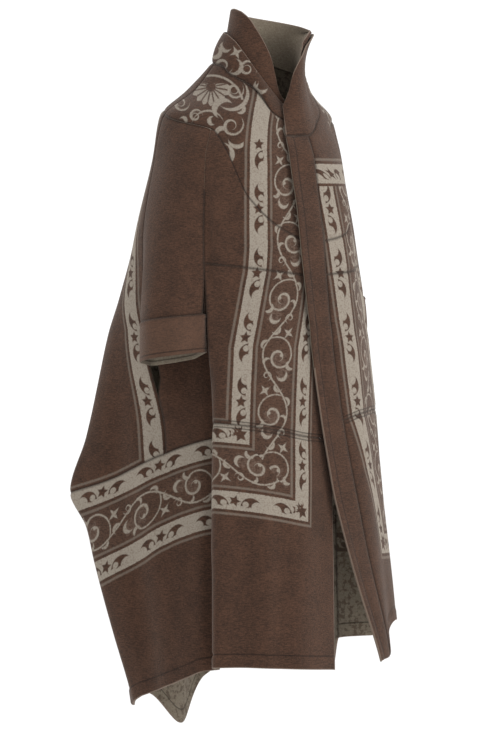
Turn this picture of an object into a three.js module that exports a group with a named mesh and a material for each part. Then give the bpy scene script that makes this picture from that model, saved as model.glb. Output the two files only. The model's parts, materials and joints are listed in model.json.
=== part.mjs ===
// Oversized wool coat in its worn, hollow shape, held at the shoulders.
// Millimetres, +Z up. The origin is where the shoulders carry the coat, at the base of the neck.
// The wearer faces -Y and the wearer's left is +X.

import * as THREE from "three";
import { mergeVertices } from "three/addons/utils/BufferGeometryUtils.js";

// Cloth
const WALL = 3.0;
const SEAM_GAP = 0.3;
const LAYER_GAP = 4.0;

// Surface steps
const AROUND_STEP = 30;
const ARM_STEPS = 3;
const LAP_STEPS = 3;
const ROWS = { yoke: 5, side: 5, skirt: 6, hem: 7, loose: 3, under: 4, gusset: 7 };
const COLLAR_ROWS = 4;
const SLOPE_STEP = 0.002;

// Heights at which the fold tables give a distance from the vertical axis
const LEVELS = {
  nape: 80, slope: 20, shoulder: -40, chest: -130, underarm: -300,
  cuff: -480, seam: -700, corner: -816, shin: -890, calf: -960, floor: -1250,
};

// Heights at which the fold tables give a direction
const TURN_LEVELS = { atShoulder: -40, atCuff: -480, atCorner: -816, atHem: -1200 };

// Directions are degrees from the front towards the wearer's right, and keep counting past 360
// where the left front laps over the right one. Distances are millimetres from the axis.
const COLUMNS = [
  "fold", "atShoulder", "atCuff", "atCorner", "atHem",
  "nape", "slope", "shoulder", "chest", "underarm", "cuff", "seam", "corner", "shin", "calf", "floor",
];

const FRONT_RIGHT_FOLDS = [
  ["rightEdge", 4, 2, 0, -2, 84, 92, 112, 148, 172, 177, 179, 180, 181, 182, 184],
  ["underBand", 22, 20, 20, 20, 90, 104, 126, 164, 188, 191, 193, 192, 192, 193, 194],
  ["band", 40, 40, 42, 44, 98, 114, 142, 186, 206, 209, 211, 212, 212, 212, 212],
  ["middle", 56, 58, 60, 62, 104, 120, 172, 218, 232, 228, 228, 229, 230, 230, 231],
  ["sideFold", 68, 72, 73, 73, 110, 132, 196, 240, 252, 244, 242, 242, 242, 243, 244],
  ["sleeveFront", 78, 76, 79, 79, 112, 140, 208, 250, 262, 252, 214, 210, 209, 208, 206],
];
const SLEEVE_RIGHT_FOLDS = [
  ["armFront", 86, 85, 86, 86, 115, 150, 222, 262, 286, 312, 312, 312, 312, 312, 312],
  ["armTop", 96, 94, 95, 95, 117, 158, 234, 266, 298, 330, 330, 330, 330, 330, 330],
  ["armBack", 105, 103, 104, 104, 118, 164, 241, 264, 296, 315, 316, 316, 316, 316, 316],
];
const SLEEVE_UNDER_RIGHT_FOLDS = [
  ["underFront", 85, 85, 85, 85, 236, 236, 236, 238, 221, 222, 222, 222, 222, 222, 222],
  ["underMiddle", 93, 93, 93, 93, 238, 238, 238, 242, 228, 210, 210, 210, 210, 210, 210],
  ["underBack", 102, 102, 102, 102, 252, 252, 252, 258, 254, 234, 234, 234, 234, 234, 234],
];
const GUSSET_RIGHT_FOLDS = [
  ["valley", 85, 85, 85, 85, 220, 220, 220, 222, 203, 176, 166, 164, 165, 166, 170],
  ["valleyBack", 93, 93, 93, 93, 222, 222, 222, 226, 208, 184, 186, 190, 190, 190, 186],
  ["capeFront", 102, 102, 102, 102, 234, 234, 234, 240, 232, 210, 206, 206, 205, 204, 200],
];
const BACK_FOLDS = [
  ["sleeveBack", 112, 111, 112, 112, 119, 166, 240, 261, 286, 284, 236, 233, 230, 226, 214],
  ["capeMiddle", 122, 122, 122, 122, 117, 168, 234, 250, 289, 311, 290, 281, 271, 262, 236],
  ["capeOuter", 130, 130, 130, 130, 113, 168, 229, 243, 285, 327, 346, 350, 330, 320, 268],
  ["capeCorner", 136, 136, 136, 135, 109, 168, 224, 240, 280, 334, 385, 417, 383, 366, 284],
  ["capeTurn", 142, 142, 141, 142, 106, 162, 218, 240, 278, 327, 370, 388, 364, 348, 288],
  ["backRight", 158, 158, 158, 163, 104, 146, 190, 226, 262, 286, 306, 314, 311, 306, 290],
  ["backMiddle", 180, 180, 180, 180, 102, 134, 165, 200, 228, 240, 246, 246, 248, 252, 264],
  ["backLeft", 202, 202, 203, 196, 102, 138, 176, 216, 248, 264, 284, 292, 295, 296, 284],
  ["shoulderBlade", 225, 225, 225, 221, 104, 150, 206, 244, 266, 270, 258, 254, 255, 256, 268],
  ["leftTurn", 240, 240, 240, 240, 106, 162, 238, 264, 278, 282, 270, 274, 276, 278, 282],
  ["sleeveBackLeft", 250, 250, 250, 250, 106, 168, 246, 270, 284, 282, 256, 256, 258, 260, 268],
];
const SLEEVE_LEFT_FOLDS = [
  ["armBackLeft", 257, 257, 257, 257, 108, 146, 236, 264, 286, 298, 298, 298, 298, 298, 298],
  ["armTopLeft", 266, 266, 266, 266, 104, 126, 192, 230, 269, 294, 294, 294, 294, 294, 294],
  ["armFrontLeft", 275, 275, 275, 275, 96, 106, 158, 190, 231, 264, 264, 264, 264, 264, 264],
];
const SLEEVE_UNDER_LEFT_FOLDS = [
  ["underBackLeft", 258, 258, 258, 258, 220, 220, 220, 222, 224, 222, 222, 222, 222, 222, 222],
  ["underMiddleLeft", 266, 266, 266, 266, 196, 196, 196, 198, 204, 200, 200, 200, 200, 200, 200],
  ["underFrontLeft", 275, 275, 275, 275, 168, 168, 168, 172, 192, 194, 194, 194, 194, 194, 194],
];
const GUSSET_LEFT_FOLDS = [
  ["turnBackLeft", 258, 258, 258, 258, 206, 206, 206, 208, 208, 202, 228, 230, 232, 234, 244],
  ["valleyLeft", 266, 266, 266, 266, 180, 180, 180, 182, 186, 178, 204, 210, 213, 216, 226],
  ["turnFrontLeft", 275, 275, 275, 275, 152, 152, 152, 156, 174, 172, 208, 218, 222, 226, 238],
];
const FRONT_LEFT_FOLDS = [
  ["sleeveFrontLeft", 284, 284, 283, 278, 88, 96, 136, 170, 202, 224, 238, 245, 251, 256, 270],
  ["outerLeft", 300, 300, 297, 287, 82, 88, 120, 151, 177, 204, 228, 238, 249, 260, 296],
  ["frontLeft", 316, 316, 311, 297, 78, 80, 116, 147, 172, 198, 222, 232, 240, 248, 300],
  ["middleLeft", 354, 349, 336, 304, 82, 88, 120, 162, 196, 204, 214, 220, 225, 230, 257],
  ["bandSeam", 375, 365, 347, 308, 92, 106, 134, 176, 192, 197, 203, 209, 214, 220, 261],
  ["bandEdge", 395, 381, 364, 318, 98, 122, 148, 190, 206, 203, 200, 200, 201, 204, 244],
];

// Heights of the seams on each fold of the body, from the neckline to the hem
const SEAM_COLUMNS = ["fold", "neck", "yoke", "waist", "knee", "hem"];
const SEAM_HEIGHTS = [
  ["rightEdge", -62, -300, -372, -705, -1180],
  ["underBand", -56, -296, -368, -700, -1178],
  ["band", -37, -268, -360, -686, -1175],
  ["middle", 8, -205, -352, -676, -1173],
  ["sideFold", 29, -104, -346, -671, -1174],
  ["sleeveFront", 40, -66, -344, -688, -1177],
  ["arm1", 50, -57, -344, -700, -1180],
  ["arm2", 64, -50, -344, -708, -1184],
  ["arm3", 68, -42, -344, -718, -1196],
  ["sleeveBack", 70, -34, -344, -735, -1210],
  ["capeMiddle", 72, -27, -344, -764, -1224],
  ["capeOuter", 74, -24, -344, -796, -1238],
  ["capeCorner", 75, -24, -344, -818, -1250],
  ["capeTurn", 75, -26, -344, -822, -1258],
  ["backRight", 75, -40, -344, -806, -1236],
  ["backMiddle", 75, -60, -344, -785, -1300],
  ["backLeft", 74, -50, -344, -775, -1205],
  ["shoulderBlade", 70, -32, -344, -760, -1140],
  ["leftTurn", 62, -26, -344, -740, -1136],
  ["sleeveBackLeft", 56, -34, -344, -722, -1160],
  ["arm4", 50, -42, -344, -710, -1178],
  ["arm5", 40, -50, -344, -698, -1122],
  ["arm6", 26, -58, -344, -684, -1118],
  ["sleeveFrontLeft", 12, -80, -344, -666, -1116],
  ["outerLeft", 0, -140, -346, -650, -1084],
  ["frontLeft", -14, -215, -350, -644, -1082],
  ["middleLeft", -50, -282, -360, -652, -1110],
  ["bandSeam", -78, -296, -366, -666, -1154],
  ["bandEdge", -80, -300, -372, -680, -1166],
];

// Upper edges of the two collar layers: direction, outer edge height and distance,
// inner edge height and distance, and how far the outer layer swells half way up
const COLLAR_COLUMNS = ["at", "outerTop", "outerOut", "innerTop", "innerOut", "swell"];
const COLLAR_EDGES = [
  [20, -28, 100, -18, 92, 0],
  [33, -8, 107, 10, 97, 2],
  [43, 14, 110, 79, 98, 4],
  [51, 34, 112, 110, 98, 8],
  [61, 60, 112, 139, 98, 8],
  [73, 91, 112, 166, 98, 6],
  [87, 118, 110, 179, 94, 5],
  [105, 132, 104, 184, 88, 5],
  [135, 137, 95, 180, 82, 6],
  [180, 138, 94, 172, 82, 4],
  [225, 136, 95, 162, 84, 0],
  [270, 132, 95, 150, 84, -12],
  [300, 132, 93, 142, 84, -24],
  [318, 130, 92, 140, 83, -26],
  [345, 112, 92, 122, 83, -20],
  [368, 80, 106, 88, 96, -6],
  [381, 48, 117, 56, 107, 0],
  [388, 8, 124, 14, 114, 0],
  [396, -30, 130, -26, 120, 0],
];

// The inner collar follows the outer one up to this share of its height, then rises above it
const INNER_RISE = 0.3;

// The sleeves are sewn to the body from the yoke to the waist seam and hang free below it,
// where their edges draw in by a share of half their width
const FREE_SHARE = 0.1;
const UNDERARM_ROW = 0.7;
const SPLIT_TOP = -330;
const SPLIT_END = -540;
const GUSSET_TUCK = 17;
const UNDER_TUCK = 5;
const TUCK_TOP = -565;
const TUCK_END = -625;

// Cuffs: heights of their upper and lower edges at the front and at the back of the arm
const CUFF_RIGHT = { topFront: -447, topBack: -470, endFront: -526, endBack: -553 };
const CUFF_LEFT = { topFront: -412, topBack: -406, endFront: -490, endBack: -484 };
const CUFF_PROUD = 1.0;
const CUFF_ROWS = 2;

const BROWN = 0x4e3b32;
const CLOTH_ROUGHNESS = 0.95;

const readTable = (columns, rows) => rows.map(
  (row) => Object.fromEntries(columns.map((column, index) => [column, row[index]])),
);

const join = (...parts) => parts.flatMap((part) => readTable(COLUMNS, part));

const OUTER = join(FRONT_RIGHT_FOLDS, SLEEVE_RIGHT_FOLDS, BACK_FOLDS, SLEEVE_LEFT_FOLDS, FRONT_LEFT_FOLDS);
const INNER = join(FRONT_RIGHT_FOLDS, GUSSET_RIGHT_FOLDS, BACK_FOLDS, GUSSET_LEFT_FOLDS, FRONT_LEFT_FOLDS);
const UNDER = join(
  FRONT_RIGHT_FOLDS, SLEEVE_UNDER_RIGHT_FOLDS, BACK_FOLDS, SLEEVE_UNDER_LEFT_FOLDS, FRONT_LEFT_FOLDS,
);
const SEAMS = readTable(SEAM_COLUMNS, SEAM_HEIGHTS);
const COLLAR = readTable(COLLAR_COLUMNS, COLLAR_EDGES);

const place = (name) => OUTER.findIndex((row) => row.fold === name);
const RIGHT_EDGE = place("rightEdge");
const RIGHT_ARM = [place("sleeveFront"), place("sleeveBack")];
const UNDER_BAND = place("underBand");
const MID_BACK = place("backMiddle");
const LEFT_ARM = [place("sleeveBackLeft"), place("sleeveFrontLeft")];
const LEFT_FRONT = place("middleLeft");
const BAND_SEAM = place("bandSeam");
const BAND_EDGE = place("bandEdge");
const VALLEY_RIGHT = RIGHT_ARM[0] + 1;
const VALLEY_LEFT = LEFT_ARM[0] + 2;

const clamp = (value, low, high) => Math.min(Math.max(value, low), high);
const mix = (a, b, share) => a + (b - a) * share;
const ease = (value) => value * value * (3 - 2 * value);
const ramp = (value, from, to) => ease(clamp((value - from) / (to - from), 0, 1));

// Smooth curve through rising stations that never overshoots its values
function throughStations(stations, values, at) {
  const last = stations.length - 1;
  if (at <= stations[0]) return values[0];
  if (at >= stations[last]) return values[last];
  let k = 0;
  while (at > stations[k + 1]) k += 1;
  const span = (i) => stations[i + 1] - stations[i];
  const rise = (i) => (values[i + 1] - values[i]) / span(i);
  const slope = (i) => {
    if (i === 0) return rise(0);
    if (i === last) return rise(last - 1);
    const before = rise(i - 1);
    const after = rise(i);
    return before * after <= 0 ? 0 : 2 * before * after / (before + after);
  };
  const t = (at - stations[k]) / span(k);
  const h = span(k);
  const a = values[k] * (1 + 2 * t) * (1 - t) ** 2 + slope(k) * h * t * (1 - t) ** 2;
  const b = values[k + 1] * t * t * (3 - 2 * t) - slope(k + 1) * h * t * t * (1 - t);
  return a + b;
}

const levelNames = Object.keys(LEVELS);
const levelDepths = levelNames.map((name) => -LEVELS[name]);
const turnNames = Object.keys(TURN_LEVELS);
const turnDepths = turnNames.map((name) => -TURN_LEVELS[name]);

function foldSpot(row, z) {
  const out = throughStations(levelDepths, levelNames.map((name) => row[name]), -z);
  const turn = throughStations(turnDepths, turnNames.map((name) => row[name]), -z);
  const angle = THREE.MathUtils.degToRad(turn);
  return new THREE.Vector2(-out * Math.sin(angle), -out * Math.cos(angle));
}

// The body takes the sleeve's outer folds above the waist and the gusset's folds below the cuff
function bodySpot(index, z) {
  const upper = foldSpot(OUTER[index], z);
  const share = ramp(-z, -SPLIT_TOP, -SPLIT_END);
  return share === 0 ? upper : upper.lerp(foldSpot(INNER[index], z), share);
}

const SPOTS = {
  body: bodySpot,
  sleeve: (index, z) => foldSpot(OUTER[index], z),
  under: (index, z) => foldSpot(UNDER[index], z),
  gusset: (index, z) => foldSpot(INNER[index], z),
};

// Curve round the body at one height, through the folds, with slopes weighted by their spacing
function roundAt(layer, column, z) {
  const last = OUTER.length - 1;
  const k = clamp(Math.floor(column), 0, last - 1);
  const t = column - k;
  const spot = (i) => SPOTS[layer](clamp(i, 0, last), z);
  const points = [spot(k - 1), spot(k), spot(k + 1), spot(k + 2)];
  const gaps = [0, 1, 2].map((i) => Math.max(points[i].distanceTo(points[i + 1]), 1));
  const slope = (i) => {
    const before = points[i].clone().sub(points[i - 1]).multiplyScalar(gaps[i] / gaps[i - 1]);
    const after = points[i + 1].clone().sub(points[i]).multiplyScalar(gaps[i - 1] / gaps[i]);
    return before.add(after).multiplyScalar(gaps[1] / (gaps[i - 1] + gaps[i]));
  };
  const h00 = (1 + 2 * t) * (1 - t) ** 2;
  const h10 = t * (1 - t) ** 2;
  const h01 = t * t * (3 - 2 * t);
  const h11 = t * t * (t - 1);
  return points[1].clone().multiplyScalar(h00)
    .addScaledVector(slope(1), h10)
    .addScaledVector(points[2], h01)
    .addScaledVector(slope(2), h11);
}

const seamNames = SEAM_COLUMNS.slice(1);
const seamStations = SEAMS.map((row, index) => index);
const seamHeight = (name, column) => throughStations(seamStations, SEAMS.map((row) => row[name]), column);

// Height at a place counted in seams: 0 neckline, 1 yoke, 2 waist, 3 knee, 4 hem
function heightAt(column, down) {
  const k = clamp(Math.floor(down), 0, seamNames.length - 2);
  return mix(seamHeight(seamNames[k], column), seamHeight(seamNames[k + 1], column), down - k);
}

function bodyPoint(column, down) {
  const z = heightAt(column, down);
  const spot = roundAt("body", column, z);
  return new THREE.Vector3(spot.x, spot.y, z);
}

// Unit direction out of a surface, taken from its slopes both ways
function outward(surface, column, down) {
  const across = surface(column + SLOPE_STEP, down).sub(surface(column - SLOPE_STEP, down));
  const along = surface(column, down + SLOPE_STEP).sub(surface(column, down - SLOPE_STEP));
  return across.cross(along).normalize();
}

const spread = (from, to, count) => Array.from({ length: count + 1 }, (_, i) => mix(from, to, i / count));

const inArm = (k) => [RIGHT_ARM, LEFT_ARM].some((arm) => k >= arm[0] && k < arm[1]);

// Fewest columns that a fold gets: more on the arms, and where the left front laps over
function fewestSteps(k) {
  if (inArm(k)) return ARM_STEPS;
  return k >= LEFT_FRONT ? LAP_STEPS : 1;
}

// Columns between two folds, spaced by the distance round the knees
function columnsBetween(from, to) {
  const list = [];
  for (let k = Math.floor(from); k < to; k += 1) {
    const low = Math.max(k, from);
    const high = Math.min(k + 1, to);
    const length = roundAt("body", low, LEVELS.seam).distanceTo(roundAt("body", high, LEVELS.seam));
    const count = inArm(k) ? ARM_STEPS : Math.max(fewestSteps(k), Math.round(length / AROUND_STEP));
    list.push(...spread(low, high, count).slice(0, -1));
  }
  return [...list, to];
}

// Moves the rim of a grid of points inwards, square to the rim, by half a seam gap
function insetRim(grid, sides, amount = SEAM_GAP / 2) {
  const rows = grid.length;
  const cols = grid[0].length;
  const moved = grid.map((row) => row.map((point) => point.clone()));
  const shift = (i, j, di, dj, along) => {
    const inward = grid[i + di][j + dj].clone().sub(grid[i][j]);
    const tangent = along.normalize();
    inward.addScaledVector(tangent, -inward.dot(tangent)).normalize();
    moved[i][j].addScaledVector(inward, amount);
  };
  for (let i = 0; i < rows; i += 1) {
    const above = grid[Math.max(i - 1, 0)];
    const below = grid[Math.min(i + 1, rows - 1)];
    if (sides.includes("first")) shift(i, 0, 0, 1, below[0].clone().sub(above[0]));
    if (sides.includes("last")) shift(i, cols - 1, 0, -1, below[cols - 1].clone().sub(above[cols - 1]));
  }
  for (let j = 0; j < cols; j += 1) {
    const left = Math.max(j - 1, 0);
    const right = Math.min(j + 1, cols - 1);
    if (sides.includes("top")) shift(0, j, 1, 0, grid[0][right].clone().sub(grid[0][left]));
    if (sides.includes("bottom")) {
      shift(rows - 1, j, -1, 0, grid[rows - 1][right].clone().sub(grid[rows - 1][left]));
    }
  }
  return moved;
}

// Closed wall between a grid of outer points and the same grid moved in by the cloth's thickness
function wallGeometry(outer, normals, closed = false) {
  const rows = outer.length;
  const cols = outer[0].length;
  const inner = outer.map((row, i) => row.map((p, j) => p.clone().addScaledVector(normals[i][j], -WALL)));
  const points = [...outer.flat(), ...inner.flat()];
  const faces = [];
  const half = rows * cols;
  const at = (i, j, side) => side * half + i * cols + (j % cols);
  const quad = (a, b, c, d) => {
    const short = points[a].distanceTo(points[c]) <= points[b].distanceTo(points[d]);
    faces.push(...(short ? [a, c, b, a, d, c] : [a, d, b, b, d, c]));
  };
  const steps = closed ? cols : cols - 1;
  for (let i = 0; i < rows - 1; i += 1) {
    for (let j = 0; j < steps; j += 1) {
      quad(at(i, j, 0), at(i + 1, j, 0), at(i + 1, j + 1, 0), at(i, j + 1, 0));
      quad(at(i, j, 1), at(i, j + 1, 1), at(i + 1, j + 1, 1), at(i + 1, j, 1));
    }
    if (!closed) {
      quad(at(i, 0, 0), at(i, 0, 1), at(i + 1, 0, 1), at(i + 1, 0, 0));
      quad(at(i, cols - 1, 0), at(i + 1, cols - 1, 0), at(i + 1, cols - 1, 1), at(i, cols - 1, 1));
    }
  }
  for (let j = 0; j < steps; j += 1) {
    quad(at(0, j, 0), at(0, j + 1, 0), at(0, j + 1, 1), at(0, j, 1));
    quad(at(rows - 1, j, 0), at(rows - 1, j, 1), at(rows - 1, j + 1, 1), at(rows - 1, j + 1, 0));
  }
  const geometry = new THREE.BufferGeometry();
  geometry.setAttribute("position", new THREE.Float32BufferAttribute(points.flatMap((p) => p.toArray()), 3));
  geometry.setIndex(faces);
  const merged = mergeVertices(geometry);
  merged.computeVertexNormals();
  return merged;
}

function namedMesh(name, geometry) {
  const material = new THREE.MeshStandardMaterial({ color: BROWN, roughness: CLOTH_ROUGHNESS, metalness: 0 });
  const mesh = new THREE.Mesh(geometry, material);
  mesh.name = name;
  return mesh;
}

// A panel of one surface between two folds and two seams. At the neckline the body and the
// collar share one direction out, so that their edges meet square.
function panel(name, surface, columns, downs, sides, neckRow = -1) {
  const grid = downs.map((down) => columns.map((column) => surface(column, down)));
  const normals = downs.map((down, i) => columns.map(
    (column) => (i === neckRow ? neckOutward(column) : outward(surface, column, down)),
  ));
  return namedMesh(name, wallGeometry(insetRim(grid, sides), normals));
}

const DOWN = {
  yoke: spread(0, 1, ROWS.yoke),
  side: spread(1, 2, ROWS.side),
  skirt: spread(2, 3, ROWS.skirt),
  hem: spread(3, 4, ROWS.hem),
};

function bodyPanels() {
  const right = columnsBetween(RIGHT_EDGE, RIGHT_ARM[0]);
  const rightShoulder = [...right, ...columnsBetween(RIGHT_ARM[0], RIGHT_ARM[1]).slice(1)];
  const back = columnsBetween(RIGHT_ARM[1], LEFT_ARM[0]);
  const left = columnsBetween(LEFT_ARM[1], BAND_SEAM);
  const leftShoulder = [...columnsBetween(LEFT_ARM[0], LEFT_ARM[1]), ...left.slice(1)];
  const band = columnsBetween(BAND_SEAM, BAND_EDGE);
  const rightHem = [...right, ...columnsBetween(RIGHT_ARM[0], VALLEY_RIGHT).slice(1)];
  const backHem = [
    ...columnsBetween(VALLEY_RIGHT, RIGHT_ARM[1]), ...back.slice(1),
    ...columnsBetween(LEFT_ARM[0], VALLEY_LEFT).slice(1),
  ];
  const leftHem = [...columnsBetween(VALLEY_LEFT, LEFT_ARM[1]), ...left.slice(1)];
  const upperBack = [...DOWN.side, ...DOWN.skirt.slice(1)];
  const bandDown = [...DOWN.yoke, ...DOWN.side.slice(1), ...DOWN.skirt.slice(1), ...DOWN.hem.slice(1)];
  return [
    panel("yoke_right", bodyPoint, rightShoulder, DOWN.yoke, ["top", "bottom", "last"], 0),
    panel("yoke_back", bodyPoint, back, DOWN.yoke, ["top", "bottom", "first", "last"], 0),
    panel("yoke_left", bodyPoint, leftShoulder, DOWN.yoke, ["top", "bottom", "first", "last"], 0),
    panel("side_front_right", bodyPoint, right, DOWN.side, ["top", "bottom", "last"]),
    panel("skirt_front_right", bodyPoint, right, DOWN.skirt, ["top", "bottom", "last"]),
    panel("hem_front_right", bodyPoint, rightHem, DOWN.hem, ["top", "last"]),
    panel("back_upper", bodyPoint, back, upperBack, ["top", "bottom", "first", "last"]),
    panel("back_lower", bodyPoint, backHem, DOWN.hem, ["top", "first", "last"]),
    panel("side_front_left", bodyPoint, left, DOWN.side, ["top", "bottom", "first", "last"]),
    panel("skirt_front_left", bodyPoint, left, DOWN.skirt, ["top", "bottom", "first", "last"]),
    panel("hem_front_left", bodyPoint, leftHem, DOWN.hem, ["top", "first", "last"]),
    panel("front_band", bodyPoint, band, bandDown, ["top", "first"], 0),
  ];
}

// Share of the way from one edge fold of an arm to the other
const armShare = (arm, column) => clamp((column - arm[0]) / (arm[1] - arm[0]), 0, 1);

// Below the waist seam the sleeve's edges draw in, clear of the front and back
function narrowed(arm, column, z, base) {
  const middle = (arm[0] + arm[1]) / 2;
  return middle + (column - middle) * (1 - FREE_SHARE * ramp(-z, -base, -SPLIT_END));
}

function cuffTop(arm, cuff, column) {
  const front = arm === RIGHT_ARM ? cuff.topFront : cuff.topBack;
  const rear = arm === RIGHT_ARM ? cuff.topBack : cuff.topFront;
  return mix(front, rear, armShare(arm, column));
}

function cuffEnd(arm, cuff, column) {
  const front = arm === RIGHT_ARM ? cuff.endFront : cuff.endBack;
  const rear = arm === RIGHT_ARM ? cuff.endBack : cuff.endFront;
  return mix(front, rear, armShare(arm, column));
}

// Outer half of a sleeve: down 1 to 2 is sewn to the body, 2 to 3 hangs free to the cuff
function sleevePoint(arm, cuff) {
  return (column, down) => {
    const waist = seamHeight("waist", column);
    const z = down <= 2
      ? mix(seamHeight("yoke", column), waist, down - 1)
      : mix(waist, cuffTop(arm, cuff, column), down - 2);
    const spot = roundAt("sleeve", narrowed(arm, column, z, waist), z);
    return new THREE.Vector3(spot.x, spot.y, z);
  };
}

function tuckedSpot(layer, arm, column, z, tuck) {
  const spot = roundAt(layer, column, z);
  const edge = 1 - Math.sin(Math.PI * armShare(arm, column));
  return spot.multiplyScalar(1 - tuck * edge / spot.length());
}

function underPoint(arm, cuff) {
  return (column, down) => {
    const top = mix(seamHeight("yoke", column), seamHeight("waist", column), UNDERARM_ROW);
    const z = mix(top, cuffTop(arm, cuff, column), down);
    const spot = tuckedSpot("under", arm, narrowed(arm, column, z, top), z, UNDER_TUCK);
    return new THREE.Vector3(spot.x, spot.y, z);
  };
}

function gussetPoint(arm) {
  return (column, down) => {
    const top = mix(seamHeight("yoke", column), seamHeight("waist", column), UNDERARM_ROW);
    const z = mix(top, seamHeight("knee", column), down);
    const tuck = GUSSET_TUCK * (1 - ramp(-z, -TUCK_TOP, -TUCK_END));
    const spot = tuckedSpot("gusset", arm, column, z, tuck);
    return new THREE.Vector3(spot.x, spot.y, z);
  };
}

// Closed loop of the sleeve at one share of the cuff's depth
function cuffLoop(arm, cuff, share) {
  const steps = columnsBetween(arm[0], arm[1]);
  const spotAt = (layer, column) => {
    const z = mix(cuffTop(arm, cuff, column) - SEAM_GAP, cuffEnd(arm, cuff, column), share);
    const inner = narrowed(arm, column, z, seamHeight("waist", column));
    const spot = layer === "sleeve" ? roundAt(layer, inner, z) : tuckedSpot(layer, arm, inner, z, UNDER_TUCK);
    return new THREE.Vector3(spot.x, spot.y, z);
  };
  const outer = steps.map((column) => spotAt("sleeve", column));
  const under = [...steps].reverse().map((column) => spotAt("under", column));
  return [...outer, ...under];
}

function loopNormals(loop) {
  return loop.map((point, j) => {
    const before = loop[(j + loop.length - 1) % loop.length];
    const after = loop[(j + 1) % loop.length];
    const along = after.clone().sub(before);
    return new THREE.Vector3(along.y, -along.x, 0).normalize().negate();
  });
}

function cuffMesh(name, arm, cuff) {
  const loops = spread(0, 1, CUFF_ROWS).map((share) => cuffLoop(arm, cuff, share));
  const normals = loops.map(loopNormals);
  const outer = loops.map((loop, i) => loop.map((p, j) => p.clone().addScaledVector(normals[i][j], CUFF_PROUD)));
  return namedMesh(name, wallGeometry(outer, normals, true));
}

function sleeves() {
  return [["right", RIGHT_ARM, CUFF_RIGHT], ["left", LEFT_ARM, CUFF_LEFT]].flatMap(([side, arm, cuff]) => {
    const columns = columnsBetween(arm[0], arm[1]);
    const sleeveDown = [...spread(1, 2, ROWS.side), ...spread(2, 3, ROWS.loose).slice(1)];
    const underDown = spread(0, 1, ROWS.under);
    const gussetDown = spread(0, 1, ROWS.gusset);
    return [
      panel(`sleeve_${side}`, sleevePoint(arm, cuff), columns, sleeveDown, ["top", "bottom", "first", "last"]),
      panel(`sleeve_under_${side}`, underPoint(arm, cuff), columns, underDown, ["bottom", "first", "last"]),
      panel(`gusset_${side}`, gussetPoint(arm), columns, gussetDown, ["bottom", "first", "last"]),
      cuffMesh(`cuff_${side}`, arm, cuff),
    ];
  });
}

// Direction of the body's neckline at a column, counted on past 360 at the left front
function neckDirection(column) {
  const rough = throughStations(seamStations, OUTER.map((row) => row.atShoulder), column);
  const base = bodyPoint(column, 0);
  const exact = THREE.MathUtils.radToDeg(Math.atan2(-base.x, -base.y));
  return exact + 360 * Math.round((rough - exact) / 360);
}

const collarStations = COLLAR.map((row) => row.at);
const collarValue = (name, at) => throughStations(collarStations, COLLAR.map((row) => row[name]), at);

function polar(at, out, z) {
  const angle = THREE.MathUtils.degToRad(at);
  return new THREE.Vector3(-out * Math.sin(angle), -out * Math.cos(angle), z);
}

// Outer layer: down 0 is its upper edge, 1 is the neckline
function collarOuterPoint(column, down) {
  const at = neckDirection(column);
  const base = bodyPoint(column, 0);
  const baseOut = Math.hypot(base.x, base.y);
  const up = 1 - down;
  const swell = 4 * up * down * collarValue("swell", at);
  const out = mix(baseOut, collarValue("outerOut", at), up) + swell;
  return polar(at, out, mix(base.z, collarValue("outerTop", at), up));
}

function neckOutward(column) {
  return outward(bodyPoint, column, 0).add(outward(collarOuterPoint, column, 1)).normalize();
}

// Inner layer: follows the outer layer a little way in, then rises above it
function collarInnerPoint(column, down) {
  const at = neckDirection(column);
  if (down > INNER_RISE) {
    const along = (down - INNER_RISE) / (1 - INNER_RISE);
    const cover = collarOuterPoint(column, along);
    return cover.addScaledVector(outward(collarOuterPoint, column, along), -(WALL + LAYER_GAP));
  }
  const edge = collarOuterPoint(column, 0);
  edge.addScaledVector(outward(collarOuterPoint, column, 0), -(WALL + LAYER_GAP));
  const top = polar(at, collarValue("innerOut", at), collarValue("innerTop", at));
  return top.lerp(edge, down / INNER_RISE);
}

function collar() {
  const rightColumns = [
    ...columnsBetween(UNDER_BAND, RIGHT_ARM[0]), ...columnsBetween(RIGHT_ARM[0], RIGHT_ARM[1]).slice(1),
    ...columnsBetween(RIGHT_ARM[1], MID_BACK).slice(1),
  ];
  const leftColumns = [
    ...columnsBetween(MID_BACK, LEFT_ARM[0]), ...columnsBetween(LEFT_ARM[0], LEFT_ARM[1]).slice(1),
    ...columnsBetween(LEFT_ARM[1], BAND_SEAM).slice(1), ...columnsBetween(BAND_SEAM, BAND_EDGE).slice(1),
  ];
  const outerDown = spread(0, 1, COLLAR_ROWS);
  const innerDown = [0, INNER_RISE / 2, ...spread(INNER_RISE, 1, COLLAR_ROWS)];
  const both = [...rightColumns, ...leftColumns.slice(1)];
  const innerColumns = both.filter((column) => column <= LEFT_FRONT);
  return [
    panel("collar_outer_right", collarOuterPoint, rightColumns, outerDown, ["bottom", "last"], COLLAR_ROWS),
    panel("collar_outer_left", collarOuterPoint, leftColumns, outerDown, ["bottom", "first"], COLLAR_ROWS),
    panel("collar_inner", collarInnerPoint, innerColumns, innerDown, ["bottom"]),
  ];
}

const coat = new THREE.Group();
coat.add(...bodyPanels(), ...sleeves(), ...collar());

export default coat;
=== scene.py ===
"""Oversized blanket-wool coat in its worn, hollow shape: felted brown cloth with a woven
light border of stars, curled leaves and scrolls, and the reversed colours inside."""

import json
import math

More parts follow.
